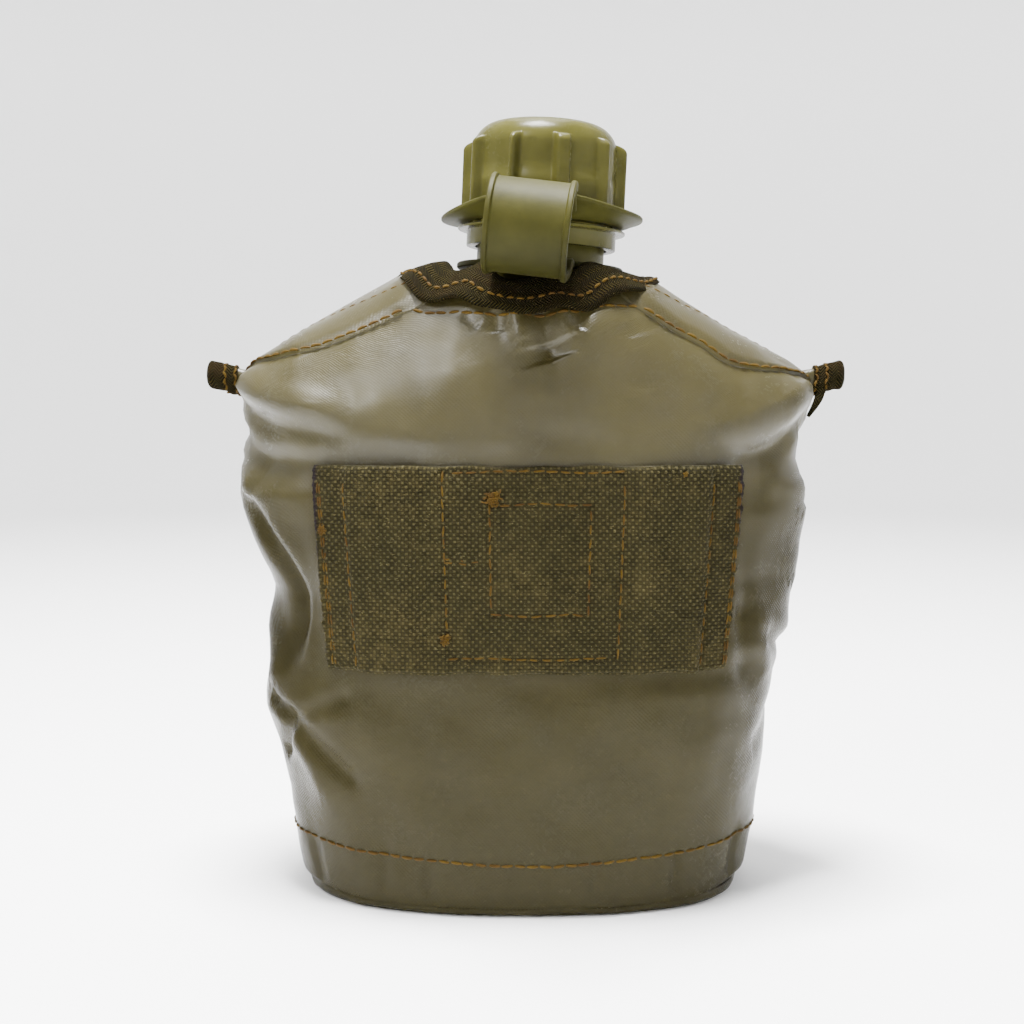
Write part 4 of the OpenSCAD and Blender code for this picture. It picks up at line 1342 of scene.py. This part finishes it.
def screw_cap():
    angles = np.linspace(0, 360, CAP_COLUMNS, endpoint=False)
    mask = rib_mask(angles)[None, :]
    arc = np.radians(np.concatenate([np.linspace(0, 34, 22), np.linspace(37, 90, 18)]))
    dome_r = CAP_R - CAP_ROUND + CAP_ROUND * np.cos(arc)
    dome_z = CAP_TOP - CAP_ROUND + CAP_ROUND * np.sin(arc)
    inside = [(0.3, CAP_TOP - 1.7), (9.0, CAP_TOP - 1.7), (12.0, CAP_TOP - 1.8), (15.4, CAP_TOP - 3.0),
              (CAP_BORE, CAP_TOP - 6.6), (CAP_BORE, SKIRT_Z + 0.5), (CAP_BORE + 0.2, SKIRT_Z)]
    skirt = [(SKIRT_R - 0.3, SKIRT_Z), (SKIRT_R - 0.05, SKIRT_Z + 0.1), (SKIRT_R, SKIRT_Z + 0.35),
             (SKIRT_R, BEAD_Z - 0.75), (SKIRT_R + 0.1, BEAD_Z - 0.62), (BEAD_R - 0.2, BEAD_Z - 0.4),
             (BEAD_R, BEAD_Z - 0.2), (BEAD_R, BEAD_Z + 0.2), (BEAD_R - 0.2, BEAD_Z + 0.35),
             (SKIRT_R, BEAD_Z + 0.6), (CAP_R + 0.2, BEAD_Z + 0.9), (CAP_R, BEAD_Z + 1.1)]
    wall = [(CAP_R, RIB_LOW - 0.4)]
    wall += [(CAP_R + 0.25, z) for z in (*np.linspace(RIB_LOW - 0.25, RIB_LOW + 0.35, 5), 180, 184, 186.6)]
    wall += [(CAP_R, z) for z in (187.0, 190, CAP_TOP - CAP_ROUND - 1.8)]
    crown = [*zip(dome_r, dome_z), (8.0, CAP_TOP), (4.0, CAP_TOP), (0.3, CAP_TOP)]
    profile = np.array(inside + skirt + wall + crown)
    r, z = profile[:, :1], profile[:, 1:]
    outside = np.arange(len(profile))[:, None] >= len(inside + skirt)
    ramp = np.clip((z - (RIB_HIGH - 1.8)) / 2.4, 0, 1)
    crest = RIB_R - (1 - np.sqrt(1 - ramp**2)) * 4.0
    there = mask * smooth((z - RIB_LOW + 0.3) / 0.6) * outside * (z < RIB_HIGH + 0.4)
    radii = np.maximum(r, mix(r, np.maximum(crest, r), there))
    piece = turned("screw_cap", radii, z, angles)
    finish_piece(piece, material("cap"), "plastic", "cap", "cap")


def ring_lift(angles):
    """How far the ring's edge rises above its bore, highest where the strap pulls."""
    front = np.maximum(0, -np.sin(np.radians(angles - STRAP_TURN)))
    level = 1.0 + 0.9 * np.cos(np.radians(angles))
    return mix(level, FRONT_LIFT, front**3)


def tether_ring():
    """The ring under the cap's ribs, which the strap pulls up at its front."""
    angles = np.linspace(0, 360, 300, endpoint=False)
    section = [(RING_BORE, 0.15), (RING_BORE + 0.2, 0), (20.6, 0), (21.8, 0), (23.2, 0), (24.6, 0), (25.8, 0),
               (RING_R - 0.25, 0.1), (RING_R, 0.4), (RING_R, 0.95), (RING_R - 0.25, 1.25), (25.8, RING_T),
               (24.6, RING_T), (23.2, RING_T), (21.8, RING_T), (20.6, RING_T), (RING_BORE + 0.2, RING_T),
               (RING_BORE, RING_T - 0.15)]
    section = np.array(section)
    r = section[:, :1] + 0 * angles[None, :]
    k = smooth((r - 20.6) / (RING_R - 20.6))
    z = RING_Z + section[:, 1:] + k * ring_lift(angles)[None, :]
    piece = turned("tether_cap_ring", r, z, angles, centre_ends=False)
    finish_piece(piece, material("tether"), "strap_plastic", "cap_ring", "cap_ring")


def tether_neck_ring():
    angles = np.linspace(0, 360, 200, endpoint=False)
    bore = NECK_R + 0.3
    section = np.array([(bore, 0.2), (bore + 0.2, 0), (NECK_RING_R - 0.3, 0), (NECK_RING_R, 0.35),
                        (NECK_RING_R, 1.15), (NECK_RING_R - 0.3, STRAP_T), (bore + 0.2, STRAP_T),
                        (bore, STRAP_T - 0.2)])
    r = section[:, :1] + 0 * angles[None, :]
    piece = turned("tether_neck_ring", r, NECK_RING_Z + section[:, 1:] + 0 * r, angles, centre_ends=False)
    finish_piece(piece, material("tether"), "strap_plastic", "cover", "neck_ring")


def tether_band():
    """The band's path runs out of the neck ring, round the loop and into the ring
    under the cap; its section has a raised bead at each edge."""
    half, top, bead = STRAP_W / 2, STRAP_T, STRAP_T + 0.7
    right = [(half - 1.8, top), (half - 1.5, top + 0.05), (half - 1.4, bead - 0.3), (half - 1.1, bead),
             (half - 0.3, bead), (half, bead - 0.3), (half, 0.3), (half - 0.3, 0)]
    section = [(-w, n) for w, n in right[-2::-1]] + right + [(-right[-1][0], 0)]
    inner_r = LOOP_R - STRAP_T
    centre = LOOP_REACH - LOOP_R
    turn = np.radians(np.linspace(-102, 100, 70))
    arc = np.stack([centre + inner_r * np.cos(turn), LOOP_Z + inner_r * np.sin(turn)], -1)
    low = along([(18.6, NECK_RING_Z + STRAP_T), (25.3, NECK_RING_Z + STRAP_T), (31.5, 162.2), arc[0]], 8)
    high = along([arc[-1], (32.0, 180.5), (27.4, 180.3), (24.6, 178.95), (22.6, 176.6)], 8)
    path = np.concatenate([low[:-1], arc, high[1:]])
    tangent = unit(np.gradient(path, axis=0))
    normal = np.stack([tangent[:, 1], -tangent[:, 0]], -1)
    turn = math.radians(STRAP_TURN)
    out = np.array([math.sin(turn), -math.cos(turn)])
    side = np.array([math.cos(turn), math.sin(turn)])
    sections = []
    for i, (spot, way) in enumerate(zip(path, normal)):
        taper = float(smooth(np.float64(0.25 + i / 6)) * smooth(np.float64(0.25 + (len(path) - 1 - i) / 8)))
        ring = []
        for w, n in section:
            lift = min(n, STRAP_T) + max(0, n - STRAP_T) * taper
            d, z = spot + way * lift
            roll = math.radians(STRAP_ROLL) * float(smooth(np.float64((d - 25) / 12)))
            rise = z - LOOP_Z
            x, y = out * d + side * (w * math.cos(roll) + rise * math.sin(roll))
            ring.append((x, y, LOOP_Z + rise * math.cos(roll) - w * math.sin(roll)))
        sections.append(ring)
    piece = tube("tether_strap", lean(np.array(sections)), crease=40)
    finish_piece(piece, material("tether"), "strap_plastic", None, "strap_band")
    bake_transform(piece)


# ---- bottle -----------------------------------------------------------------
BOTTLE_FLOOR = 5.4
BOTTLE_FOOT_R = 9.0
BOTTLE_SHOULDER = 120.0
BOTTLE_NECK = 163.0
BOTTLE_HALF_W = (54.0, 62.5)
BOTTLE_HALF_D = (30.0, 32.5)
BOTTLE_HOLLOW = 7.0
BOTTLE_WALL = 1.6
MOUTH_R = 13.6
FINISH_R = 15.6
FINISH_Z = 171.0
LIP_Z = 197.0
THREAD_Z = 183.0
THREAD_TURN = 450.0
THREAD_PITCH = 5.0
BOTTLE_ANGLES = np.arange(0, 360, 2.5)


def bottle_ring(half_w, half_d, z, hollow):
    """A section of the bottle, whose back is hollowed to sit against the hip."""
    dent = hollow * np.maximum(0, -np.sin(np.radians(BOTTLE_ANGLES))) ** 3
    y = half_d * squared_sin(BOTTLE_ANGLES) + dent * (BOTTLE_ANGLES > 180)
    return np.stack([half_w * squared_cos(BOTTLE_ANGLES), y, np.full(len(BOTTLE_ANGLES), z)], -1)


def bottle_body(inset, steps):
    rings = []
    low = BOTTLE_FLOOR + inset
    for t in np.radians(np.linspace(4, 80, steps // 2)):
        cut = inset + BOTTLE_FOOT_R * (1 - math.sin(t))
        rings.append(bottle_ring(BOTTLE_HALF_W[0] - cut, BOTTLE_HALF_D[0] - cut,
                                 low + BOTTLE_FOOT_R * (1 - math.cos(t)), BOTTLE_HOLLOW * 0.7 * math.sin(t)))
    for k in np.linspace(0, 1, steps):
        rings.append(bottle_ring(mix(*BOTTLE_HALF_W, k) - inset, mix(*BOTTLE_HALF_D, k) - inset,
                                 mix(low + BOTTLE_FOOT_R, BOTTLE_SHOULDER, k),
                                 BOTTLE_HOLLOW * (0.7 + 0.3 * math.sin(math.pi / 2 * k))))
    for k in np.linspace(0, 1, 2 * steps)[1:]:
        t = math.pi / 2 * k
        z = BOTTLE_SHOULDER - 0.8 * inset + (BOTTLE_NECK - BOTTLE_SHOULDER) * (0.2 * math.sin(t) + 0.8 * k)
        rings.append(bottle_ring(mix(NECK_R + 0.6, BOTTLE_HALF_W[1], math.cos(t)) - inset,
                                 mix(NECK_R + 0.6, BOTTLE_HALF_D[1], math.cos(t)) - inset,
                                 z, BOTTLE_HOLLOW * math.cos(min(math.pi / 2, 1.2 * t))))
    return rings


def thread_swell(z):
    """How far the screw thread stands out of the bottle's mouth at a height."""
    swell = np.zeros(len(BOTTLE_ANGLES))
    for gone in (BOTTLE_ANGLES, BOTTLE_ANGLES + 360):
        near = np.abs(z - THREAD_Z - THREAD_PITCH * gone / 360)
        ends = smooth(np.minimum(gone, THREAD_TURN - gone) / 48)
        swell = np.maximum(swell, ends * np.clip((1.2 - near) / 0.7, 0, 1) * (gone < THREAD_TURN))
    return 1.2 * swell


def blown_bottle():
    """The bottle, hollow and open at its mouth."""
    turn = np.radians(BOTTLE_ANGLES)

    def neck_row(radius, z):
        return np.stack([radius * np.cos(turn), radius * np.sin(turn), z + 0 * turn], -1)

    rings = bottle_body(0, 14)
    rings += [neck_row(NECK_R, z) for z in (BOTTLE_NECK + 0.6, FINISH_Z)]
    rings += [neck_row(FINISH_R + thread_swell(z), z) for z in np.linspace(FINISH_Z + 1.2, LIP_Z - 0.8, 64)]
    rings += [neck_row(FINISH_R, LIP_Z - 0.5), neck_row(FINISH_R - 0.5, LIP_Z), neck_row(MOUTH_R, LIP_Z)]
    rings.append(neck_row(MOUTH_R, BOTTLE_NECK - 2))
    rings += bottle_body(BOTTLE_WALL, 6)[-2::-1]
    piece = tube("blown_bottle", lean(np.array(rings)), crease=50)
    finish_piece(piece, material("bottle"), "plastic", "cover", "bottle")


# ---- settings, operators and panel ------------------------------------------
def tone(name, description, default):
    return bpy.props.FloatVectorProperty(
        name=name, description=description, subtype="COLOR", size=4, min=0, max=1, default=default
    )


def number(name, description, default, **rest):
    return bpy.props.FloatProperty(name=name, description=description, default=default, **rest)


class CanteenCloth(bpy.types.PropertyGroup):
    coating: tone("Coating", "The coated cloth's main colour", colour(0.0225, 0.0178, 0.0038))
    coating_light: tone("Coating, worn", "The coating where it is rubbed", colour(0.031, 0.0255, 0.0072))
    coating_dark: tone("Coating, dirty", "The coating where dirt stays", colour(0.0135, 0.0108, 0.0022))
    # painted shade, below the shoulders and along the flanks
    coating_painted_shade: tone("Coating, painted shade", "The coating below the shoulders", colour(0.0085, 0.0068, 0.0014))
    thread: number("Yarn", "The cloth's yarn spacing, in cm", 0.1, min=0.03, max=0.2)
    tape: tone("Tape", "The binding tape's ribs", colour(0.021, 0.0166, 0.0036))
    # painted shade between the ribs, also the yarns' random dark
    tape_dark: tone("Tape, hollows", "The tape between its ribs", colour(0.0014, 0.0011, 0.0004))
    tape_worn: tone("Tape, worn", "The tape where it is worn", colour(0.014, 0.0085, 0.0028))
    webbing: tone("Webbing", "The webbing's main colour", colour(0.042, 0.033, 0.011))
    webbing_dark: tone("Webbing, hollows", "The webbing between its yarns", colour(0.0135, 0.012, 0.0036))
    webbing_light: tone("Webbing, worn", "The webbing's rubbed yarns", colour(0.1, 0.086, 0.034))
    webbing_half: number("Webbing half length", "In cm, along the cover", 5.75, min=4, max=7)
    thread_colour: tone("Sewing thread", "The sewing thread's colour", colour(0.062, 0.038, 0.0028))


class CanteenPlastic(bpy.types.PropertyGroup):
    cap: tone("Cap", "The cap's and bottle's plastic", colour(0.047, 0.044, 0.0105))
    cap_dark: tone("Cap, shaded", "The cap's plastic in its flow marks", colour(0.036, 0.034, 0.0078))
    tether: tone("Tether", "The tether's plastic", colour(0.031, 0.0295, 0.0062))
    tether_dark: tone("Tether, shaded", "The tether in its flow marks", colour(0.0225, 0.0215, 0.004))


class CanteenStage(bpy.types.PropertyGroup):
    distance: number("Camera distance", "From the canteen's middle", 0.3819, unit="LENGTH")
    height: number("Camera height", "Above the floor", 0.1327, unit="LENGTH")
    pitch: number("Camera pitch", "Down from level", 0.087, unit="ROTATION")
    shift: number("Camera offset", "To the right of the middle", -0.00368, unit="LENGTH")


class CANTEEN_OT_cover(bpy.types.Operator):
    """Makes the cover's back, front, base and foot welt"""

    bl_idname = "canteen.cover"
    bl_label = "Cover"

    def execute(self, context):
        panel("back_cloth", 180, 360, 1.985, BACK_ROWS, "back_panel")
        panel("front_cloth", 0, 180, FRONT_TOP, FRONT_ROWS, "front_panel")
        base_cloth()
        base_welt()
        return {"FINISHED"}


class CANTEEN_OT_bindings(bpy.types.Operator):
    """Makes the tape round the neck and the tape ears at the shoulders"""

    bl_idname = "canteen.bindings"
    bl_label = "Bindings"

    def execute(self, context):
        neck_tape()
        for side in (-1, 1):
            ear(side)
        ear_tail()
        return {"FINISHED"}


class CANTEEN_OT_flaps(bpy.types.Operator):
    """Makes the shoulder flaps with their bound edges"""

    bl_idname = "canteen.flaps"
    bl_label = "Shoulder Flaps"

    def execute(self, context):
        for side in (-1, 1):
            shoulder_flap(side)
            flap_tape(side)
            flap_stitches(side)
        return {"FINISHED"}


class CANTEEN_OT_webbing(bpy.types.Operator):
    """Makes the belt webbing and its sewing"""

    bl_idname = "canteen.webbing"
    bl_label = "Belt Webbing"

    def execute(self, context):
        belt_webbing()
        webbing_stitches()
        thread_knots()
        return {"FINISHED"}


class CANTEEN_OT_sewing(bpy.types.Operator):
    """Sews the cover's seams, hem and neck tape"""

    bl_idname = "canteen.sewing"
    bl_label = "Sewing"

    def execute(self, context):
        cover_stitches()
        neck_tape_stitches()
        return {"FINISHED"}


class CANTEEN_OT_closure(bpy.types.Operator):
    """Makes the screw cap and the tether, and finishes the bottle and the metal parts"""

    bl_idname = "canteen.closure"
    bl_label = "Cap and Tether"

    def execute(self, context):
        screw_cap()
        tether_ring()
        tether_neck_ring()
        tether_band()
        blown_bottle()
        for node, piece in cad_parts.items():
            key = ("snap" if "_snap_" in node else "brass" if node.startswith("drain") else
                   "seal" if node == "cap_seal" else None)
            if key:
                for slot in piece.material_slots:
                    slot.material = material(key)
        return {"FINISHED"}


# Each lamp's name, place and width in metres, and power in watts
LIGHTS = [
    ("key_light", (-0.5, -0.55, 0.78), 0.22, 7.5),
    ("top_light", (-0.06, -0.04, 0.9), 0.26, 58.0),
    ("fill_light", (0.75, -0.7, 0.35), 0.5, 0.4),
    ("back_light", (0.0, 0.5, 1.3), 0.6, 12.0),
]
ROOM_LIGHT = 0.1
SWEEP_START = 1.2
SWEEP_R = 0.6
SWEEP_TOP = 2.8
WALL_GLOW = 0.16


def pale_floor():
    """A round dish, whose wall glows faintly behind the canteen."""
    turn = np.linspace(0, np.pi / 2, 24)
    reach = np.array([0.0005, 0.4, *(SWEEP_START + SWEEP_R * np.sin(turn)), SWEEP_START + SWEEP_R])
    rise = np.array([0.0, 0.0, *(SWEEP_R * (1 - np.cos(turn))), SWEEP_TOP]) - 0.0002
    heading = np.linspace(0, 2 * np.pi, 120, endpoint=False)
    dish = np.stack([reach[:, None] * np.cos(heading), reach[:, None] * np.sin(heading),
                     rise[:, None] + 0 * heading], -1)
    floor = new_piece("floor", dish.reshape(-1, 3) / MM, grid_faces(*dish.shape[:2], ring=True))
    white = colour(0.95, 0.95, 0.95)
    paint = Shader("pale_floor", base_color=white, roughness=0.7, emission_strength=1.0)
    glow = paint.band(paint.height(), 0.01, 0.7, 0, WALL_GLOW)
    floor.data.materials.append(paint.feed(emission_color=glow))


def studio_light(scene):
    """The light of the room and the lamps, which all look at the canteen."""
    world = bpy.data.worlds.new("studio")
    world.use_nodes = True
    room = world.node_tree.nodes["Background"]
    room.inputs["Color"].default_value = (1, 1, 1, 1)
    room.inputs["Strength"].default_value = ROOM_LIGHT
    scene.world = world
    middle = Vector((0, 0, 0.09))
    for name, place, size, power_w in LIGHTS:
        lamp = bpy.data.lights.new(name, "AREA")
        lamp.size = size
        lamp.energy = power_w
        light = bpy.data.objects.new(name, lamp)
        light.location = place
        light.rotation_euler = (middle - Vector(place)).to_track_quat("-Z", "Y").to_euler()
        scene.collection.objects.link(light)


def front_camera(scene):
    """A camera that looks at the webbing, from a little above it."""
    stage = scene.canteen_stage
    lens = bpy.data.cameras.new("camera")
    lens.lens = 50
    lens.sensor_width = 36
    lens.clip_start = 0.01
    camera = bpy.data.objects.new("camera", lens)
    camera.location = (stage.shift, -stage.distance, stage.height)
    camera.rotation_euler = (math.pi / 2 - stage.pitch, 0, 0)
    scene.collection.objects.link(camera)
    scene.camera = camera


class CANTEEN_OT_stage(bpy.types.Operator):
    """Makes the floor, the lights and the camera"""

    bl_idname = "canteen.stage"
    bl_label = "Stage"

    def execute(self, context):
        pale_floor()
        studio_light(context.scene)
        front_camera(context.scene)
        return {"FINISHED"}


OPERATORS = [CANTEEN_OT_stage, CANTEEN_OT_cover, CANTEEN_OT_bindings, CANTEEN_OT_flaps,
             CANTEEN_OT_webbing, CANTEEN_OT_sewing, CANTEEN_OT_closure]


class CANTEEN_PT_panel(bpy.types.Panel):
    """Lists the canteen's pieces"""

    bl_idname = "CANTEEN_PT_panel"
    bl_label = "Field Canteen"
    bl_space_type = "VIEW_3D"
    bl_region_type = "UI"
    bl_category = "Canteen"

    def draw(self, context):
        for operator in OPERATORS:
            self.layout.operator(operator.bl_idname)


SETTINGS = {"canteen_cloth": CanteenCloth, "canteen_plastic": CanteenPlastic, "canteen_stage": CanteenStage}
CLASSES = [*SETTINGS.values(), *OPERATORS, CANTEEN_PT_panel]


def register():
    for item in CLASSES:
        bpy.utils.register_class(item)
    for name, group in SETTINGS.items():
        setattr(bpy.types.Scene, name, bpy.props.PointerProperty(type=group))


def unregister():
    for name in SETTINGS:
        delattr(bpy.types.Scene, name)
    for item in reversed(CLASSES):
        bpy.utils.unregister_class(item)


def main():
    register()
    bpy.ops.canteen.stage()
    bpy.ops.canteen.cover()
    bpy.ops.canteen.bindings()
    bpy.ops.canteen.flaps()
    bpy.ops.canteen.webbing()
    bpy.ops.canteen.sewing()
    bpy.ops.canteen.closure()


if __name__ == "__main__":
    main()
